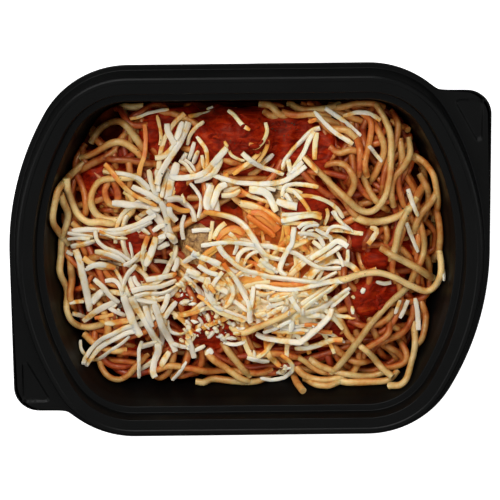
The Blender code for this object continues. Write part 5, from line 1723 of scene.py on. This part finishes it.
def make_bit(rng, u, v, size, sink, stain_level):
    """A bit seen at a picture point, resting on the ground map and sunk by a share of its height."""
    z = TRACED_LEVEL
    for _ in range(BIT_TRIES):
        x, y = plan(u, v, z)
        z = float(read_top(x, y)) + size[2] * (0.5 - sink)
    x, y = (float(value) for value in keep_in(x, y, z, max(size) / 2))
    return {"place": (x, y, z), "size": size, "stain": stain_level, "tone": rng.random(),
            "turn": (rng.uniform(-BIT_TILT, BIT_TILT), rng.uniform(-BIT_TILT, BIT_TILT),
                     rng.uniform(0, ANY_TURN))}


def scatter(name, bits, sizes):
    """One mesh of all the bits of a kind."""
    points = bpy.data.meshes.new(name + "_points")
    points.from_pydata([bit["place"] for bit in bits], [], [])
    for key, kind, field in (("size", "FLOAT_VECTOR", "vector"), ("turn", "FLOAT_VECTOR", "vector"),
                             ("stain", "FLOAT", "value"), ("tone", "FLOAT", "value")):
        values = np.array([bit[key] for bit in bits], np.float32).ravel()
        points.attributes.new(key, kind, "POINT").data.foreach_set(field, values)
    return grow(name, points, chips, sizes)


# An uneven chip is set on every point, at the point's size and turn.
chips, given = new_tree("chips_on_points", "Points", ())
chip = put(chips, "GeometryNodeMeshUVSphere", {"Segments": 8, "Rings": 5, "Radius": 0.55})
placed = put(chips, "GeometryNodeInstanceOnPoints",
             {"Points": given["Points"], "Instance": chip.outputs["Mesh"],
              "Rotation": kept_value(chips, "turn", "FLOAT_VECTOR"),
              "Scale": kept_value(chips, "size", "FLOAT_VECTOR")})
whole = put(chips, "GeometryNodeRealizeInstances", {"Geometry": placed.outputs[0]})
roughen(chips, given, whole.outputs[0], 1.0, 0.6)

rng = random.Random(BIT_SEED)
crumbs = []
for *patch, count in CRUMB_PATCHES:
    for _ in range(count):
        width = rng.uniform(*CRUMB_SIZE)
        size = (width * rng.uniform(*CRUMB_LENGTH), width, width * rng.uniform(*CRUMB_HEIGHT))
        crumbs.append(make_bit(rng, *in_patch(rng, *patch), size, BIT_SINK, rng.uniform(*CRUMB_STAIN)))
for u, v, *size in FLAKES:
    crumbs.append(make_bit(rng, u, v, [side * MM for side in size], BIT_SINK, FLAKE_STAIN))
cheese_crumbs = scatter("cheese_crumbs", crumbs, {
    "Unevenness": 1.6 * MM, "Grain scale": 600.0, "Finish": cheese})
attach(cheese_crumbs, "root")
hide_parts("shredded_cheese")

pulp_bits = []
for *patch, count in PULP_PATCHES:
    for _ in range(count):
        width = rng.uniform(*PULP_SIZE)
        size = (width, width * rng.uniform(*PULP_WIDTH), width * rng.uniform(*PULP_HEIGHT))
        pulp_bits.append(make_bit(rng, *in_patch(rng, *patch), size, PULP_SINK, 0.0))
tomato_pulp = scatter("tomato_pulp", pulp_bits, {
    "Unevenness": 1.2 * MM, "Grain scale": 420.0, "Finish": sauce})
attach(tomato_pulp, "root")
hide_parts("tomato_sauce")

herb, tree, shader, place = new_surface("dried_herb")
leaf = speckle(tree, place, 700.0, 2.0)
plug(tree, shader, {
    "Base Color": colour_ramp(tree, leaf, (0.4, 0.012, 0.007, 0.003), (0.6, 0.050, 0.045, 0.012)),
    "Roughness": 0.6})
flakes = []
for *patch, count in HERB_PATCHES:
    for _ in range(count):
        width = rng.uniform(*HERB_SIZE)
        size = (width, width * rng.uniform(*HERB_WIDTH), HERB_THICK)
        flakes.append(make_bit(rng, *in_patch(rng, *patch), size, BIT_SINK, 0.0))
herb_flakes = scatter("herb_flakes", flakes, {
    "Unevenness": 0.2 * MM, "Grain scale": 900.0, "Finish": herb})
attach(herb_flakes, "root")
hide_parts("tomato_sauce")
